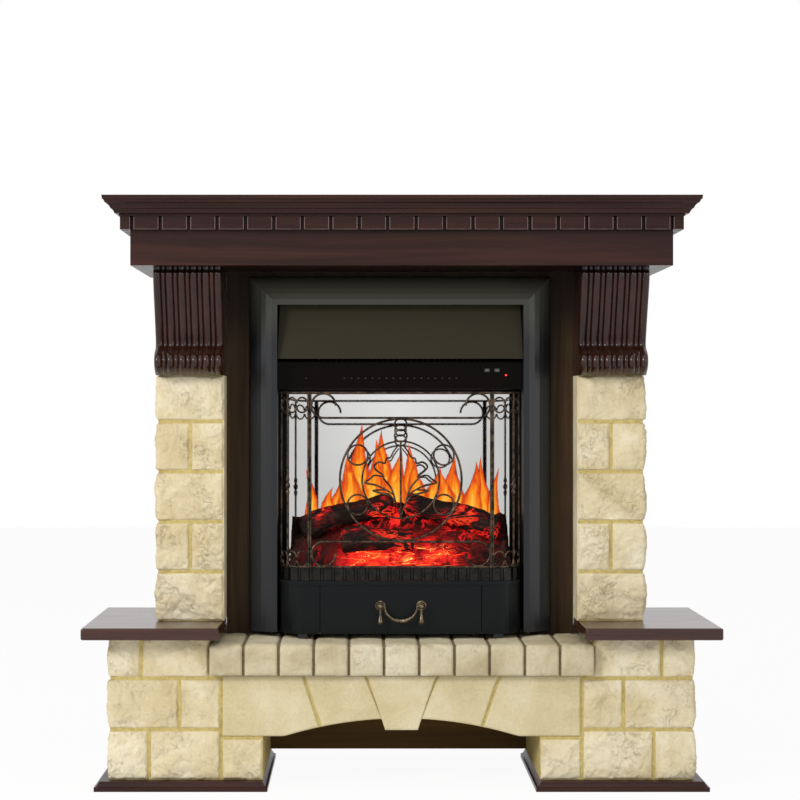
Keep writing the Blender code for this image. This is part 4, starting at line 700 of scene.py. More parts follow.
# Bowed base and fender, as in the solids.
BOW_FRONT = -0.060
BOW_HALF = 0.2065
CORNER_WIDTH = 0.038
CORNER_DEPTH = 0.060
FENDER_INSET = 0.0025
CORNER_POST = 0.1524
WING_BAY = 0.0435
WIRE, RAIL, POST, LEAF = 0.0014, 0.0017, 0.0016, 0.0012
STOUT = 1.16            # the drawn wires are this much stouter than the solids' own
MEDALLION_RADIUS = 0.1027
INNER_RING = 0.0651
SMALL_RING = 0.0170
SMALL_RING_PLACE = 0.0839
HOOK_RADIUS = 0.0205
SCROLL_HALF = 0.0115
SCROLL_HALF_HEIGHT = 0.0135
SCROLL_DROP = 0.009
KNOT_Z = 0.4993
LEAF_STROKES = (
    ((0.0, -0.063), (0.008, -0.040), (0.012, -0.025), (0.018, -0.011), (0.029, 0.002), (0.030, 0.008),
     (0.043, 0.018), (0.044, 0.025), (0.036, 0.030), (0.027, 0.028), (0.024, 0.036), (0.0175, 0.038),
     (0.012, 0.048), (0.003, 0.060)),
    ((0.030, 0.005), (0.044, 0.0075), (0.052, 0.0015), (0.060, -0.005), (0.042, -0.009),
     (0.025, -0.017), (0.0123, -0.025)),
    ((0.025, -0.017), (0.047, -0.018), (0.031, -0.023), (0.018, -0.027), (0.008, -0.040)),
)


def bow_at(distance, inset=0.0):
    """A point of the bowed front, this far along it from the middle; negative is to the left."""
    side = -1.0 if distance < 0 else 1.0
    left = abs(distance)
    straight = BOW_HALF - CORNER_WIDTH
    if left <= straight:
        return Vector((side * left, BOW_FRONT + inset))
    left -= straight
    here = Vector((straight, BOW_FRONT + inset))
    for step in range(1, 33):
        angle = math.pi / 2 * step / 32
        there = Vector((straight + (CORNER_WIDTH - inset) * math.sin(angle),
                        BOW_FRONT + CORNER_DEPTH - (CORNER_DEPTH - inset) * math.cos(angle)))
        length = (there - here).length
        if left <= length:
            point = here.lerp(there, left / length)
            return Vector((side * point.x, point.y))
        left -= length
        here = there
    return Vector((side * here.x, here.y + left))


class Wires:
    """Smooth round wires gathered into one curve piece."""

    def __init__(self, name, resolution=3):
        self.curve = bpy.data.curves.new(name, "CURVE")
        self.curve.dimensions = "3D"
        self.curve.bevel_depth = 1.0
        self.curve.bevel_resolution = resolution
        self.curve.use_fill_caps = True
        self.name = name

    def add(self, points, gauge, cyclic=False, swell=None):
        spline = self.curve.splines.new("POLY")
        spline.points.add(len(points) - 1)
        for index, (target, point) in enumerate(zip(spline.points, points)):
            target.co = (*point, 1.0)
            target.radius = STOUT * gauge * (swell[index] if swell else 1.0)
        spline.use_cyclic_u = cyclic

    def finish(self, material, body=ROOT):
        obj = bpy.data.objects.new(self.name, self.curve)
        bpy.context.scene.collection.objects.link(obj)
        evaluated = obj.evaluated_get(bpy.context.evaluated_depsgraph_get())
        mesh = bpy.data.meshes.new_from_object(evaluated)
        bpy.data.objects.remove(obj)
        mesh.materials.clear()
        return new_object(self.name, mesh, material, body)


def arc(x, z, radius, start, end, steps, tall=1.0):
    angles = [math.radians(start + (end - start) * step / steps) for step in range(steps + 1)]
    return [(x + radius * math.cos(angle), z + tall * radius * math.sin(angle)) for angle in angles]


def curl(points, steps=5):
    """A smooth line through points, by Catmull-Rom interpolation."""
    padded = [points[0], *points, points[-1]]
    smooth = []
    for a, b, c, d in zip(padded, padded[1:], padded[2:], padded[3:]):
        for step in range(steps):
            t = step / steps
            smooth.append(tuple(0.5 * (2 * q + (r - p) * t + (2 * p - 5 * q + 4 * r - s) * t * t
                                       + (3 * q - p - 3 * r + s) * t ** 3) for p, q, r, s in zip(a, b, c, d)))
    smooth.append(points[-1])
    return smooth


def on_bow(points, back=0.0):
    path = []
    for distance, z in points:
        spot = bow_at(distance, FENDER_INSET + back)
        path.append((spot.x, spot.y, z))
    return path


def taper(count, low=0.55):
    """Wire that thins towards both its ends."""
    return [low + (1.0 - low) * math.sin(math.pi * index / (count - 1)) ** 0.5 for index in range(count)]


def fender_front(iron):
    low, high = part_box("fender_front")
    bottom, top = low.z, high.z
    middle = (bottom + top) / 2
    wires = Wires("fender_scrollwork")
    for side in (-1, 1):
        wires.add(on_bow([(side * CORNER_POST, bottom), (side * CORNER_POST, top)]), POST)
    for z in (top - RAIL, bottom + RAIL):
        wires.add(on_bow([(-CORNER_POST, z), (CORNER_POST, z)]), RAIL)
    hook_x = CORNER_POST - POST - HOOK_RADIUS
    for up in (-1, 1):
        rod = middle + up * (MEDALLION_RADIUS + WIRE * 1.3)
        points = arc(hook_x, rod + up * HOOK_RADIUS, HOOK_RADIUS, up * 180.0, -up * 90.0, 36)
        path = points + [(-x, z) for x, z in reversed(points)]
        wires.add(on_bow(path), RAIL)
    for radius, gauge, steps in ((MEDALLION_RADIUS, RAIL, 96), (INNER_RING, WIRE, 72)):
        wires.add(on_bow(arc(0.0, middle, radius, 0, 360, steps)[:-1]), gauge, True)
    for angle in (-30.0, 30.0):
        for side in (-1, 1):
            x = side * SMALL_RING_PLACE * math.cos(math.radians(angle))
            z = middle + SMALL_RING_PLACE * math.sin(math.radians(angle))
            wires.add(on_bow(arc(x, z, SMALL_RING, 0, 360, 36)[:-1]), WIRE, True)
    quarter = (MEDALLION_RADIUS - INNER_RING) / 4
    for step in (1, 3):
        ring = arc(0.0, middle + INNER_RING + quarter * step, quarter + WIRE * 0.6, 0, 360, 28)
        wires.add(on_bow(ring[:-1]), WIRE, True)
    wires.add(on_bow([(0.0, middle - INNER_RING), (0.0, middle + INNER_RING)]), WIRE)
    for side in (-1, 1):
        for stroke in LEAF_STROKES:
            line = curl([(side * x, middle + z) for x, z in stroke])
            wires.add(on_bow(line), LEAF * 1.25, swell=taper(len(line), 0.65))
    piece = wires.finish(iron)
    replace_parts(piece, "fender_front")


def fender_wing(side, hand, iron):
    low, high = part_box("fender_wing_right")
    bottom, top = low.z, high.z
    start = CORNER_POST + 2 * POST + CLEAR
    knot = CORNER_POST + WING_BAY
    end = knot + WING_BAY
    wires = Wires(f"fender_wing_scrolls_{hand}")
    for place in (start, knot, end):
        wires.add(on_bow([(side * place, bottom), (side * place, top)]), POST)
    for z in (top - RAIL, bottom + RAIL):
        wires.add(on_bow([(side * (start + (end - start) * step / 24), z) for step in range(25)]), RAIL)
    beads = [KNOT_Z + 0.0185 * (step / 24 * 2 - 1) for step in range(25)]
    swell = [1.0 + 1.3 * abs(math.cos(math.pi * (z - KNOT_Z) / 0.0123)) * (1.0 - ((z - KNOT_Z) / 0.0185) ** 2)
             for z in beads]
    wires.add(on_bow([(side * knot, z) for z in beads]), POST, swell=swell)
    tall = SCROLL_HALF_HEIGHT / SCROLL_HALF
    for z in (bottom + RAIL + SCROLL_HALF_HEIGHT, top - SCROLL_DROP - SCROLL_HALF_HEIGHT):
        for left, right in ((start, knot), (knot, end)):
            for post, turn in ((left, 1), (right, -1)):
                centre = post + turn * (SCROLL_HALF + POST * 0.4)
                line = []
                for step in range(41):
                    angle = math.radians(20.0 + 320.0 * step / 40)
                    curled = 1.0 - 0.38 * abs(step / 20 - 1.0) ** 3
                    line.append((side * (centre + turn * SCROLL_HALF * curled * math.cos(angle)),
                                 z + tall * SCROLL_HALF * curled * math.sin(angle)))
                wires.add(on_bow(line, turn * 0.0004), WIRE, swell=taper(len(line), 0.7))
    piece = wires.finish(iron)
    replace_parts(piece, f"fender_wing_{hand}")


def spun(name, profile, steps, material, place, body, axis="Z"):
    """A turned piece about Z, or about Y towards the front; the profile is (radius, height) from its tip."""
    points = []
    for radius, height in profile:
        radius = max(radius, 0.00005)
        for step in range(steps):
            angle = 2 * math.pi * step / steps
            points.append((radius * math.cos(angle), radius * math.sin(angle), height))
    faces = ring_faces(len(profile) - 1, steps)
    faces += [tuple(range(steps)), tuple(reversed(range(len(points) - steps, len(points))))]
    mesh = closed_mesh(name, points, faces)
    turn = Matrix.Rotation(math.pi / 2, 4, "X") if axis == "Y" else Matrix.Identity(4)
    mesh.transform(Matrix.Translation(place) @ turn)
    return new_object(name, mesh, material, body)


HANDLE_REACH = 0.0125       # the bail's pivots stand this far in front of the bow
PIVOT_DROP = 0.009
BAIL_GAUGE = 0.0017
BAIL_HALF = 0.0345 - 0.0048 - 0.0017 - 0.0006     # clear of the posts' finials
BAIL_END = 0.0318
BAIL_FALL = 0.0245
BAIL_STEPS = 48
ROSETTE = ((0.0, 0.0032), (0.0030, 0.0032), (0.0036, 0.0024), (0.0052, 0.0022), (0.0060, 0.0028),
           (0.0068, 0.0030), (0.0076, 0.0022), (0.0086, 0.0016), (0.0090, 0.0008), (0.0090, 0.0), (0.0, 0.0))
STEM = ((0.0, 0.0145), (0.0020, 0.0140), (0.0029, 0.0128), (0.0024, 0.0095), (0.0022, 0.0050), (0.0030, 0.0))
FINIAL = ((0.0, 0.0048), (0.0022, 0.0044), (0.0038, 0.0031), (0.0047, 0.0010), (0.0046, -0.0010),
          (0.0036, -0.0030), (0.0026, -0.0042), (0.0030, -0.0050), (0.0023, -0.0058), (0.0022, -0.0120),
          (0.0027, -0.0170), (0.0036, -0.0215), (0.0045, -0.0255), (0.0046, -0.0275), (0.0036, -0.0293),
          (0.0024, -0.0300), (0.0030, -0.0307), (0.0015, -0.0312), (0.0, -0.0312))


def drop_handle(brass):
    """Rosettes, knobs with hanging finials, and the swelling bail."""
    y = BOW_FRONT - HANDLE_REACH
    for _, hand in SIDES:
        low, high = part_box(f"handle_post_{hand}")
        x = (low.x + high.x) / 2
        z = high.z - PIVOT_DROP
        plate = spun(f"handle_rosette_{hand}", ROSETTE, 40, brass, (x, high.y, z), "drawer",
                     "Y")
        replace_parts(plate, f"handle_post_{hand}")
        spun(f"handle_stem_{hand}", STEM, 24, brass, (x, high.y, z), "drawer", "Y")
        spun(f"handle_finial_{hand}", FINIAL, 24, brass, (x, y, z), "drawer")
    points, swell = [(-BAIL_END, y, z)], [1.0]
    for step in range(BAIL_STEPS + 1):
        angle = math.pi * step / BAIL_STEPS
        belly = math.sin(angle)
        points.append((-BAIL_HALF * math.cos(angle), y, z - BAIL_FALL * belly))
        bead = 0.55 if step in (21, 27) else 0.0
        swell.append(1.0 + 0.65 * belly ** 4 + bead)
    wires = Wires("drop_bail", 5)
    wires.add(points + [(BAIL_END, y, z)], BAIL_GAUGE, swell=swell + [1.0])
    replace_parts(wires.finish(brass, "bail"), "bail_handle")


# Dentils, as in the solids.
DENTIL_PITCH = 0.0466
DENTIL_SLOT = 0.006
DENTIL_SLOTS = 10       # slots on each side of the middle
DENTIL_END = 0.0195     # first slot from the band's end
# width of the pale strips painted as highlights on the dentils' edges
HIGHLIGHT_STRIP = 0.0011

# A corbel's front as (share of the height, share of the depth), and its reeds, as in the solids.
CORBEL_DEPTH = 0.2975
CORBEL_PROFILE = ((1.0, 0.988), (0.965, 0.988), (0.94, 1.0), (0.88, 0.992), (0.77, 0.965),
                  (0.63, 0.926), (0.49, 0.887), (0.38, 0.859), (0.31, 0.844), (0.265, 0.850),
                  (0.225, 0.894), (0.185, 0.929), (0.13, 0.941), (0.08, 0.929), (0.035, 0.894),
                  (0.0, 0.850))
WIDE_REEDS = 6
REED_SHARE = 0.62
REED_RISE = 0.0048
BEAD_RISE = 0.0030


def reeding(width):
    """Places across a corbel and how far its rounded reeds stand out there."""
    wide = width / (WIDE_REEDS + (WIDE_REEDS - 1) * (1 - REED_SHARE) / REED_SHARE)
    narrow = wide * (1 - REED_SHARE) / REED_SHARE
    points, x = [], 0.0
    for index in range(2 * WIDE_REEDS - 1):
        span, rise, steps = (wide, REED_RISE, 12) if index % 2 == 0 else (narrow, BEAD_RISE, 8)
        points += [(x + span * step / steps, rise * math.sin(math.pi * step / steps) ** 0.75)
                   for step in range(steps)]
        x += span
    return points + [(width, 0.0)]


def corbel_scroll(side, hand, material):
    """A smooth reeded corbel, in place of its plain solid."""
    low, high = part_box("corbel_right")
    inner, outer, wall = low.x, high.x, high.y
    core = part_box("pillar_carcass_right")[0].y - 0.0004
    profile = curl([(height, share) for height, share in CORBEL_PROFILE], 7)
    front_rows, back_rows = [], []
    for height, share in profile:
        z = low.z + (high.z - low.z) * height
        depth = CORBEL_DEPTH * share - REED_RISE
        face = [(inner + x, wall - depth - rise) for x, rise in reeding(outer - inner)]
        path = [(inner, PANEL_BACK), (inner, face[0][1] + 0.004), *face, (outer, face[-1][1] + 0.004),
                (outer, wall)]
        inside = [(inner + 0.006, PANEL_BACK), (inner + 0.006, core)]
        inside += [(min(max(x, inner + 0.006), outer - 0.006), core) for x, _ in face]
        inside += [(outer - 0.006, core), (outer - 0.006, wall)]
        front_rows.append([(side * x, y, z) for x, y in path])
        back_rows.append([(side * x, y, z) for x, y in inside])
    mesh = grid_mesh(f"corbel_scroll_{hand}", front_rows, back_rows)
    piece = new_object(f"corbel_scroll_{hand}", mesh, material, smooth_angle=50.0)
    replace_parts(piece, f"corbel_{hand}")


def dentil_highlights(material):
    """Pale strips round every dentil's face, painted highlights on its edges."""
    low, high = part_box("dentil_band")
    starts = [low.x + DENTIL_END + DENTIL_PITCH * index for index in range(2 * DENTIL_SLOTS)]
    boxes = []
    for slot in starts:
        for near in (slot - DENTIL_SLOT / 2 - HIGHLIGHT_STRIP, slot + DENTIL_SLOT / 2):
            boxes.append(((near, low.y - 0.0003, low.z), (near + HIGHLIGHT_STRIP, low.y + 0.0008, high.z - 0.0015)))
        boxes.append(((slot + DENTIL_SLOT / 2 + HIGHLIGHT_STRIP, low.y - 0.0003, low.z),
                      (min(slot + DENTIL_PITCH - DENTIL_SLOT / 2 - HIGHLIGHT_STRIP, high.x), low.y + 0.0008,
                       low.z + 0.0007)))
    slabs("dentil_highlights", boxes, material)


# Fuel bed, as in the solids.
FLUTE_STRIP = 0.007
BED_HALF = 0.188
BED_FRONT = 0.0180
BED_LOW = 0.024
BED_HIGH = 0.105
BED_SWELL = 0.024
LOGS = {"log_left": ((-0.170, 0.025, 0.420), (-0.013, 0.048, 0.470)),
        "log_right": ((0.170, 0.025, 0.420), (0.013, 0.048, 0.470)),
        "log_centre": ((-0.100, -0.010, 0.402), (0.022, -0.013, 0.408))}
LOG_RADIUS = 0.020
LOG_BEND = 0.004


def ember_look():
    """Charred lumps whose cracks glow, hottest low in the middle of the front."""
    look = Look("glowing_embers", 0.85)
    look.set("Specular IOR Level", 0.15)
    look.colour(look.ramp(look.noise(46.0, 6.0, 0.65), (0.30, (0.004, 0.002, 0.002)),
                          (0.55, (0.020, 0.007, 0.005)), (0.78, (0.060, 0.022, 0.013))))
    look.bump(look.noise(160.0, 6.0, 0.7), 0.0015, 0.9)
    cracks = look.span(look.away(look.noise(19.0, 5.0, 0.62, 1.2), 0.5), 0.86, 0.0, 0.0, 0.075)
    patches = look.span(look.noise(13.0, 2.0), 0.25, 1.0, 0.40, 0.62)
    streaks = look.grain((30.0, 70.0, 110.0), 5.0, 0.68, 2.2, (0.0, 0.45, 0.0))
    streaks = look.span(streaks, 0.0, 1.0, 0.53, 0.72)
    across = look.away(look.axis("X"))
    middle = look.span(across, 1.0, 0.0, 0.070, 0.135)
    hearth = look.times(middle, look.span(look.axis("Z"), 1.0, 0.0, 0.378, 0.430))
    veins = look.times(look.times(cracks, look.span(across, 0.72, 0.0, 0.105, 0.185)), patches)
    lumps = look.span(look.noise(30.0, 4.0, 0.6, 0.8), 0.24, 0.64, 0.38, 0.58)
    bed = look.times(hearth, look.maths("ADD", look.times(streaks, 0.54), lumps))
    fine = look.grain((24.0, 60.0, 170.0), 1.0, 0.5, 0.5, (0.0, -0.45, 0.0))
    threads = look.times(look.span(look.away(fine, 0.5), 1.0, 0.0, 0.0, 0.030),
                         look.span(hearth, 0.0, 0.98, 0.22, 0.62))
    look.glow(look.maths("MAXIMUM", look.maths("MAXIMUM", veins, bed), threads), 1.3)
    return look.material


def log_look():
    """Charred bark with glowing cracks along it."""
    look = Look("charred_log", 0.82)
    look.set("Specular IOR Level", 0.15)
    bark = look.grain((26.0, 120.0, 120.0), 6.0, 0.65, 0.6)
    look.colour(look.ramp(bark, (0.32, (0.003, 0.002, 0.002)), (0.56, (0.020, 0.009, 0.007)),
                          (0.80, (0.062, 0.030, 0.020))))
    look.bump(bark, 0.0022, 1.0)
    crack = look.away(look.grain((20.0, 40.0, 46.0), 5.0, 0.6, 1.3), 0.52)
    patch = look.span(look.noise(13.0, 3.0), 0.0, 1.0, 0.42, 0.58)
    look.glow(look.times(look.span(crack, 0.74, 0.0, 0.0, 0.070), patch), 1.0)
    return look.material


def bed_height(x, y, rear, shelf):
    """Height of the heap's slope above a place on the shelf."""
    front = BOW_FRONT + FLUTE_STRIP + BED_FRONT
    share = max(0.0, min(1.0, (y - front) / (rear - front)))
    crest = BED_HIGH - BED_LOW + BED_SWELL * math.cos(math.pi * x / (2 * BED_HALF)) ** 2
    return shelf + BED_LOW + crest * share ** 0.8


def ember_bed(material):
    """The heap of coals: overlapping lumps on the solid's own slope."""
    low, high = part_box("ember_bed")
    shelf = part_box("base_shelf")[1].z
    columns, rows = 230, 84

    def pair_at(row, column):
        x = low.x + (high.x - low.x) * column / columns
        y = low.y + (high.y - low.y) * row / rows
        where = Vector((x * 34.0, y * 46.0, 2.0))
        distances, _ = noise.voronoi(where + 0.7 * noise.noise_vector(Vector((x * 20.0, y * 20.0, 0.5))))
        lump = 0.0105 * (1.0 - ease(distances[0] * 1.25)) - 0.0045
        chips = 0.0030 * noise.noise(Vector((x * 120.0, y * 120.0, 7.0)))
        fine = 0.0012 * noise.noise(Vector((x * 300.0, y * 300.0, 9.0)))
        z = bed_height(x, y, high.y, shelf) + lump + chips + fine
        edge = min(row / 5, (rows - row) / 3, column / 6, (columns - column) / 6, 1.0)
        z -= 0.010 * (1.0 - ease(edge)) * (1.0 if row < rows / 2 else 0.3)
        return (x, y, z), (x, y, low.z)

    heap = slab_of("ember_heap", rows + 1, columns + 1, pair_at)
    bed = new_object("ember_heap", heap, material, smooth_angle=70.0)
    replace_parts(bed, "ember_bed")


def fire_log(name, ends, material, seed):
    """A split, charred log with a ragged bark and broken ends."""
    start, end = Vector(ends[0]), Vector(ends[1])
    along = (end - start).normalized()
    side = along.cross(UP).normalized()
    over = side.cross(along)
    rings, steps = 90, 72
    points = []
    for ring in range(rings + 1):
        share = ring / rings
        centre = start.lerp(end, share) + UP * LOG_BEND * math.sin(math.pi * share * 1.7)
        size = LOG_RADIUS * (1.02 - 0.12 * share + 0.05 * math.sin(7.0 * share))
        size *= 1.0 - 0.18 * max(0.0, 1.0 - min(share, 1.0 - share) / 0.03)
        for step in range(steps):
            angle = 2 * math.pi * step / steps
            way = side * math.cos(angle) + over * math.sin(angle)
            ridges = 1.0 - 2.0 * abs(noise.noise(Vector((way.y * 4.2, way.z * 4.2, share * 3.0 + seed))))
            flake = noise.noise(Vector((way.y * 9.0 + seed, way.z * 9.0, share * 16.0)))
            lumps = noise.noise(way * 1.6 + Vector((share * 9.0, seed, 0.0)))
            rough = 1.0 + 0.10 * lumps + 0.085 * ridges + 0.055 * flake
            points.append(tuple(centre + way * (size * rough)))
    faces = ring_faces(rings, steps)
    for ring, centre in ((0, start), (rings, end)):
        tip = len(points)
        points.append(tuple(centre + along * (0.003 if ring else -0.003)
                            + UP * LOG_BEND * math.sin(math.pi * (ring / rings) * 1.7)))
        for step in range(steps):
            a, b = ring * steps + step, ring * steps + (step + 1) % steps
            faces.append((tip, b, a) if ring else (tip, a, b))
    log = new_object(f"fire_{name}", closed_mesh(f"fire_{name}", points, faces), material,
                     smooth_angle=75.0)
    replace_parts(log, name)


SCREEN_TURN = 0.018      # the screen's slight turn and lean, as slopes
SCREEN_LEAN = 0.046

# Flames: (place from the middle, foot z, tip z, half width at the foot, lean, body's swell).
FLAMES = (
    (-0.1545, 0.426, 0.524, 0.0100, -0.003, 0.0), (-0.1240, 0.436, 0.492, 0.0110, 0.004, 0.2),
    (-0.1090, 0.440, 0.510, 0.0120, 0.003, 0.1), (-0.0890, 0.440, 0.552, 0.0160, 0.005, 0.3),
    (-0.0670, 0.445, 0.604, 0.0170, -0.004, 0.5), (-0.0480, 0.445, 0.576, 0.0165, 0.010, 0.4),
    (-0.0250, 0.450, 0.594, 0.0150, -0.003, 0.3), (-0.0060, 0.450, 0.560, 0.0150, 0.004, 0.3),
    (0.0140, 0.450, 0.568, 0.0150, 0.008, 0.2), (0.0330, 0.450, 0.540, 0.0150, -0.004, 0.3),
    (0.0560, 0.448, 0.527, 0.0150, 0.012, 0.2), (0.0790, 0.444, 0.520, 0.0150, 0.000, 0.3),
    (0.1000, 0.440, 0.545, 0.0150, -0.006, 0.5), (0.1250, 0.432, 0.537, 0.0135, 0.010, 0.4),
    (0.1450, 0.428, 0.546, 0.0110, 0.004, 0.3), (0.1660, 0.426, 0.526, 0.0090, 0.003, 0.2),
    (0.1580, 0.426, 0.466, 0.0075, 0.002, 0.1), (0.1710, 0.424, 0.470, 0.0060, 0.001, 0.1),
)


def flame_look():
    """Yellow heart, orange body and red rim, from each tongue's own places across and up it."""
    look = Look("flame", 1.0, colour=(0.0, 0.0, 0.0))
    look.set("Specular IOR Level", 0.0)
    parts = look.add("ShaderNodeSeparateXYZ")
    look.link(look.add("ShaderNodeUVMap", uv_map="tongue").outputs["UV"], parts.inputs["Vector"])
    across = look.away(look.times(parts.outputs["X"], 2.0), 1.0)
    core = look.maths("SUBTRACT", 1.0, look.maths("POWER", across, 1.7))
    fade = look.maths("SUBTRACT", 1.0, look.times(look.maths("POWER", parts.outputs["Y"], 1.3), 0.66))
    heat = look.times(core, fade)
    lick = look.maths("SUBTRACT", look.grain((120.0, 120.0, 26.0), 4.0, 0.6, 1.2), 0.5)
    body = look.ramp(look.maths("ADD", heat, look.times(lick, 1.15)), (0.08, (0.42, 0.030, 0.010)),
                     (0.32, (0.70, 0.075, 0.012)), (0.56, (0.95, 0.19, 0.014)), (0.78, (1.0, 0.38, 0.025)),
                     (0.98, (1.0, 0.66, 0.11)))
    look.link(body, look.shader.inputs["Emission Color"])
    look.set("Emission Strength", 1.0)
    rim = look.maths("ADD", heat, look.times(lick, 0.55))
    look.link(look.span(rim, 0.0, 0.95, 0.04, 0.34), look.shader.inputs["Alpha"])
    return look.material


def flames(material):
    """Thin tongues just in front of the screen, fading towards their rims."""
    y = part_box("flame_screen")[0].y - 0.0030
    rows, columns = 46, 12
    places = [(column / columns, row / rows) for row in range(rows + 1) for column in range(columns + 1)]
    for number, (x, foot, tip, half, lean, swell) in enumerate(FLAMES):

        def pair_at(row, column):
            across, up = 2.0 * column / columns - 1.0, row / rows
            body = (1.0 - up) ** 0.85 * (1.15 + (0.5 + swell) * math.sin(math.pi * up ** 0.75))
            sway = lean * up ** 1.4 + 0.0062 * math.sin(4.6 * up + number * 2.3) * up
            wobble = 1.0 + 0.18 * noise.noise(Vector((across * 0.8, up * 6.0, number * 3.1)))
            px = x + sway + across * half * max(body, 0.01) * wobble
            z = foot + (tip - foot) * up
            depth = 0.0007 * (1.0 - across * across) * (1.0 - up) + 0.0001
            step_back = -0.0009 * (number % 2)
            return (px, y - depth + step_back, z), (px, y + depth + step_back, z)

        mesh = slab_of(f"flame_{number}", rows + 1, columns + 1, pair_at)
        layer = mesh.uv_layers.new(name="tongue")
        for loop in mesh.loops:
            layer.data[loop.index].uv = places[loop.vertex_index % len(places)]
        tongue = new_object(f"flame_{number}", mesh, material, smooth_angle=60.0)
        tongue.visible_shadow = False


# Control band.
LONE_VENT = -0.1615
FIRST_VENT = -0.0954
VENT_PITCH = 0.012
VENTS = 17
VENT_Z = 0.6820


def studs(name, places, wide, narrow, depth, segments=12, stretch=(1.0, 1.0, 1.0), facing=1):
    """A mesh of small round studs that look to the front, or to the back where facing is -1."""
    bm = bmesh.new()
    for place in places:
        made = bmesh.ops.create_cone(bm, cap_ends=True, segments=segments, radius1=wide, radius2=narrow,
                                     depth=depth)["verts"]
        bmesh.ops.rotate(bm, verts=made, matrix=Matrix.Rotation(facing * math.pi / 2, 3, "X"))
        bmesh.ops.scale(bm, verts=made, vec=stretch)
        bmesh.ops.translate(bm, verts=made, vec=place)
    mesh = bpy.data.meshes.new(name)
    bm.to_mesh(mesh)
    bm.free()
    return mesh


def control_details(button_mark, vent_look):
    """Row of small vents along the band, and the button faces' marks."""
    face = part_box("control_panel")[0].y
    row = [LONE_VENT] + [FIRST_VENT + VENT_PITCH * index for index in range(VENTS)]
    vents = studs("band_vents", [(x, face - 0.0003, VENT_Z) for x in row], 0.0014, 0.0011, 0.0006,
                  stretch=(1.3, 1.0, 0.6))
    new_object("band_vents", vents, vent_look)
    for node, body, segments in (("heat_button", "heat_key", 6), ("flame_button", "flame_key", 8)):
        low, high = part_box(node)
        place = ((low.x + high.x) / 2, low.y - 0.0001, (low.z + high.z) / 2)
        face_mark = studs(f"{node}_mark", [place], 0.0016, 0.0014, 0.0004, segments)
        new_object(face_mark.name, face_mark, button_mark, body)


LOUVRES = 9
LOUVRE_PITCH = 0.009
LOUVRE_LENGTH = 0.110
LOUVRE_PROUD = 0.0016
SCREW_RADIUS = 0.0034
SCREW_INSET = 0.012
SCREW_PROUD = 0.0014


def back_panel(paint, dark, metal):
    """Screws round the casing's back and pressed louvres at the height of the fan heater."""
    low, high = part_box("casing")
    face = high.y
    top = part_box("heater_housing")[1].z
    hoods, slots = [], []
    for centre in (-LOUVRE_LENGTH * 0.6, LOUVRE_LENGTH * 0.6):
        left, right = centre - LOUVRE_LENGTH / 2, centre + LOUVRE_LENGTH / 2
        for index in range(LOUVRES):
            z = top - LOUVRE_PITCH * (index + 1)
            hoods.append(((left, face, z), (right, face + LOUVRE_PROUD, z + 0.0032)))
            # painted shade: the dark strip under each louvre stands in for the shade in its opening
            slots.append(((left + 0.003, face, z - 0.0024), (right - 0.003, face + 0.0003, z)))
    slabs("back_louvres", hoods, paint)
    slabs("back_louvre_slots", slots, dark)
    levels = [low.z + SCREW_INSET + (high.z - low.z - 2 * SCREW_INSET) * step / 3 for step in range(4)]
    places = [(x, z) for z in levels for x in (low.x + SCREW_INSET, high.x - SCREW_INSET)]
    places += [(0.0, levels[0]), (0.0, levels[-1])]
    screws = studs("back_screws", [(x, face + SCREW_PROUD / 2, z) for x, z in places], SCREW_RADIUS,
                   SCREW_RADIUS * 0.6, SCREW_PROUD, 20, facing=-1)
    new_object("back_screws", screws, metal)


def dress(look, *names):
    for name in names:
        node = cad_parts[name]
        node.data.materials.clear()
        node.data.materials.append(look)


def pair(name):
    return [f"{name}_left", f"{name}_right"]


def soften(width, segments, *names):
    """Rounds the edges of carried-over solids a little."""
    for name in names:
        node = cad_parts[name]
        bevel = node.modifiers.new("softened_edges", "BEVEL")
        bevel.width = width
        bevel.segments = segments
        bevel.limit_method = "ANGLE"
        bevel.angle_limit = math.radians(35.0)
        bevel.harden_normals = False


def shade(degrees, *names):
    for name in names:
        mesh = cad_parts[name].data
        mesh.shade_smooth()
        mesh.set_sharp_from_angle(angle=math.radians(degrees))


make_camera()

dark_wood, light_wood = srgb(32, 16, 12), srgb(62, 35, 29)
wood_x = wood("timber_along", dark_wood, light_wood, "X")
# the corbels darken just under their tops, a painted shadow of the frieze
corbel_wood = wood("corbel_timber", srgb(31, 13, 7), srgb(58, 27, 16), "Z", 0.16, 0.26, 0.24, (0.850, 0.862))
# pale timber for the dentils' painted edge highlights
highlight_wood = wood("painted_edge_highlight", srgb(96, 74, 70), srgb(132, 110, 106), "Z", 0.30, 0.3, 0.1)
ledge_wood = wood("ledge_timber", srgb(42, 19, 13), srgb(78, 43, 33), "X", 0.22, 0.32, 0.25)
# the surround panel darkens towards its top, a painted shadow of the frieze
panel_wood = wood("dark_board", srgb(46, 34, 22), srgb(80, 62, 43), "Z", 0.40, 0.10, 0.0, (0.735, 0.800))
raw_board = wood("raw_board", srgb(150, 118, 80), srgb(196, 166, 124), "Z", 0.75, 0.3, 0.0)
back_board = wood("olive_board", srgb(84, 62, 26), srgb(112, 86, 38), "X", 0.60, 0.2, 0.0)
split_stone = masonry("split_stone", srgb(220, 206, 170), srgb(235, 226, 200), srgb(204, 186, 144),
                      creases=0.55)
dressed_stone = masonry("dressed_stone", srgb(210, 196, 156), srgb(221, 210, 177), srgb(198, 183, 141),
                        0.0004, pits=False)
brick_stone = masonry("brick_stone", srgb(200, 188, 156), srgb(215, 206, 180), srgb(168, 153, 118),
                      creases=0.35)
ochre_mortar = mortar("ochre_mortar", srgb(204, 186, 120), srgb(170, 148, 88))
taupe_mortar = mortar("taupe_mortar", srgb(122, 109, 82), srgb(88, 76, 54))
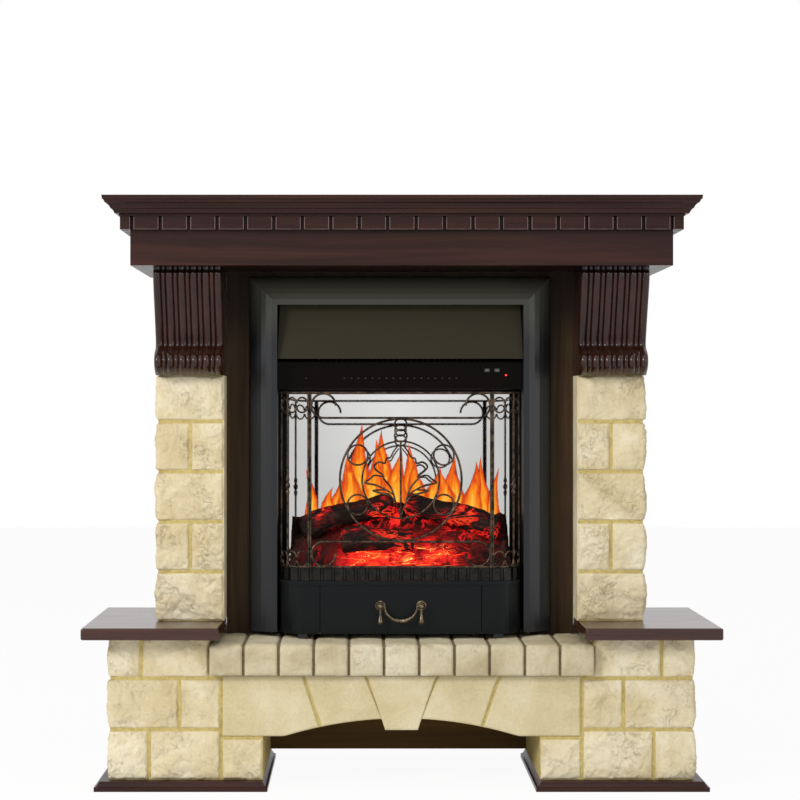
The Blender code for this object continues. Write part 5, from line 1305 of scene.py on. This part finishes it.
# the trim's last colour is its head, painted light on its upper leg
trim_paint = enamel("trim_enamel", srgb(34, 35, 37), 0.30, 0.27, 900.0, 0.00003, srgb(76, 76, 65))
base_paint = enamel("base_enamel", srgb(17, 19, 20), 0.30, 0.12)
hood_paint = enamel("hood_enamel", srgb(50, 45, 33), 0.52, 0.12)
casing_paint = enamel("casing_enamel", srgb(20, 19, 18), 0.55, 0.10)
zinc = sheet_metal("zinc_sheet", srgb(176, 178, 180), 0.42)
iron = wrought("bronzed_iron", srgb(24, 19, 15), srgb(104, 84, 66))
rail_iron = wrought("rail_iron", srgb(18, 17, 16), srgb(42, 39, 37))
brass = wrought("burnished_brass", srgb(66, 56, 42), srgb(150, 134, 108))
gloss = enamel("gloss_band", srgb(12, 8, 6), 0.10, 0.05, 1500.0, 0.00002)
grey = plastic("grey_plastic", srgb(66, 66, 66), 0.45)
mark = plastic("pale_mark", srgb(104, 104, 102), 0.40)
vent = plastic("vent_metal", srgb(58, 56, 53), 0.35)
black = plastic("black_plastic", srgb(22, 22, 22), 0.45)
green = plastic("green_board", srgb(30, 96, 54), 0.35)

dress(wood_x, "mantel_shelf", "dentil_band", "frieze_board", "soffit_board", *pair("plinth"))
dress(ledge_wood, *pair("ledge_shelf"))
dress(panel_wood, "surround_panel")
dress(raw_board, *pair("pillar_carcass"), *pair("base_carcass"), "hearth_deck")
dress(back_board, "rear_stretcher")
dress(trim_paint, "trim_frame")
dress(hood_paint, "hood_plate")
dress(gloss, "control_panel")
dress(base_paint, "base_shelf", "drawer_front", *pair("base_end"))
dress(rail_iron, "fluted_rail", "heating_element")
dress(casing_paint, "casing", "heater_housing")
dress(zinc, "base_floor", "drawer_tray", "blower_motor",
      "rotor_motor", "flame_rotor", *pair("drawer_runner"))
dress(grey, "heat_button", "flame_button", "blower_wheel")
dress(black, "cord_gland", *pair("foot_rail"))
dress(green, "led_board")

lens = Look("red_lens", 0.12, colour=srgb(220, 20, 16))
lens.bump(lens.noise(600.0), 0.00003, 0.4)
lens.set("Emission Color", (1.0, 0.03, 0.02, 1.0))
lens.set("Emission Strength", 1.4)
dress(lens.material, "indicator_lens")
mirror = Look("part_mirror", 0.035, 1.0, (0.78, 0.78, 0.78))
mirror.roughness(mirror.span(mirror.noise(14.0, 4.0), 0.02, 0.055))
# painted light: the screen is lightest in its middle and near its top, darker towards its sides and bottom,
# for the glow on it
tint = mirror.maths("ADD", mirror.away(mirror.axis("X")),
                    mirror.times(mirror.maths("SUBTRACT", 0.66, mirror.axis("Z")), 0.5))
painted_glow = mirror.maths("ADD", tint, mirror.times(mirror.noise(9.0, 3.0), 0.05))
mirror.colour(mirror.ramp(painted_glow, (0.02, (0.76, 0.76, 0.75)), (0.13, (0.68, 0.68, 0.67)),
                          (0.24, (0.56, 0.56, 0.55))))
lean = mirror.maths("SUBTRACT", mirror.times(mirror.axis("X"), SCREEN_TURN),
                    mirror.times(mirror.axis("Z"), SCREEN_LEAN))
mirror.bump(lean, 1.0)
dress(mirror.material, "flame_screen")

shade(40.0, "trim_frame", "fluted_rail", *pair("base_end"), "base_shelf", "cord_gland",
      "blower_motor", "rotor_motor", "blower_wheel", "flame_rotor", "indicator_lens")
soften(0.0016, 3, "dentil_band")
soften(0.0028, 4, *pair("ledge_shelf"))
soften(0.0008, 2, "mantel_shelf", "frieze_board", "surround_panel", *pair("plinth"), "soffit_board")
soften(0.0006, 2, "drawer_front", "hood_plate", "base_shelf", "control_panel", "heat_button", "flame_button")

for side, hand in SIDES:
    pillar_stones(side, hand, split_stone, ochre_mortar)
    pedestal_stones(side, hand, split_stone, ochre_mortar)
    fender_wing(side, hand, iron)
    corbel_scroll(side, hand, corbel_wood)
dentil_highlights(highlight_wood)
arch_stones(dressed_stone, ochre_mortar)
hearth_brick_row(brick_stone, taupe_mortar)
fender_front(iron)
drop_handle(brass)
ember_bed(ember_look())
for number, (name, ends) in enumerate(LOGS.items()):
    fire_log(name, ends, log_look(), 3.0 + 4.0 * number)
flames(flame_look())
control_details(mark, vent)
back_panel(casing_paint, black, zinc)


def light(name, place, size, power):
    data = bpy.data.lights.new(name, "AREA")
    data.shape = "RECTANGLE"
    data.size, data.size_y = size
    data.energy = power
    lamp = bpy.data.objects.new(name, data)
    lamp.location = place
    lamp.rotation_euler = (LAMP_TARGET - Vector(place)).to_track_quat("-Z", "Y").to_euler()
    bpy.context.scene.collection.objects.link(lamp)


def backdrop():
    """A pale floor that keeps the shadow, and a world that is white to the eye and softer as light."""
    bpy.ops.mesh.primitive_plane_add(size=14.0, location=(0.0, 0.0, 0.0))
    floor = bpy.context.active_object
    floor.name = "floor"
    look = Look("pale_floor", 0.9, colour=(0.90, 0.90, 0.90))
    white = look.add("ShaderNodeEmission")
    white.inputs["Strength"].default_value = 1.0
    blend = look.add("ShaderNodeMixShader")
    look.link(look.times(look.to_eye(), FLOOR_WHITE), blend.inputs["Fac"])
    look.link(look.shader.outputs["BSDF"], blend.inputs[1])
    look.link(white.outputs["Emission"], blend.inputs[2])
    look.link(blend.outputs["Shader"], look.tree.nodes["Material Output"].inputs["Surface"])
    floor.data.materials.append(look.material)
    world = bpy.data.worlds.new("studio")
    world.use_nodes = True
    bpy.context.scene.world = world
    sky = Nodes(world.node_tree)
    background = sky.tree.nodes["Background"]
    background.inputs["Color"].default_value = (1.0, 1.0, 1.0, 1.0)
    sky.link(sky.span(sky.to_eye(), WORLD_LIGHT, 1.0), background.inputs["Strength"])


light("key_left", (-2.5, -2.4, 1.9), (1.0, 1.0), 74.0)
light("fill_right", (2.6, -2.4, 1.1), (2.4, 2.4), 25.0)
light("top_soft", (0.0, -0.8, 3.0), (2.4, 1.4), 22.0)
backdrop()
bpy.context.scene.view_settings.view_transform = "Standard"
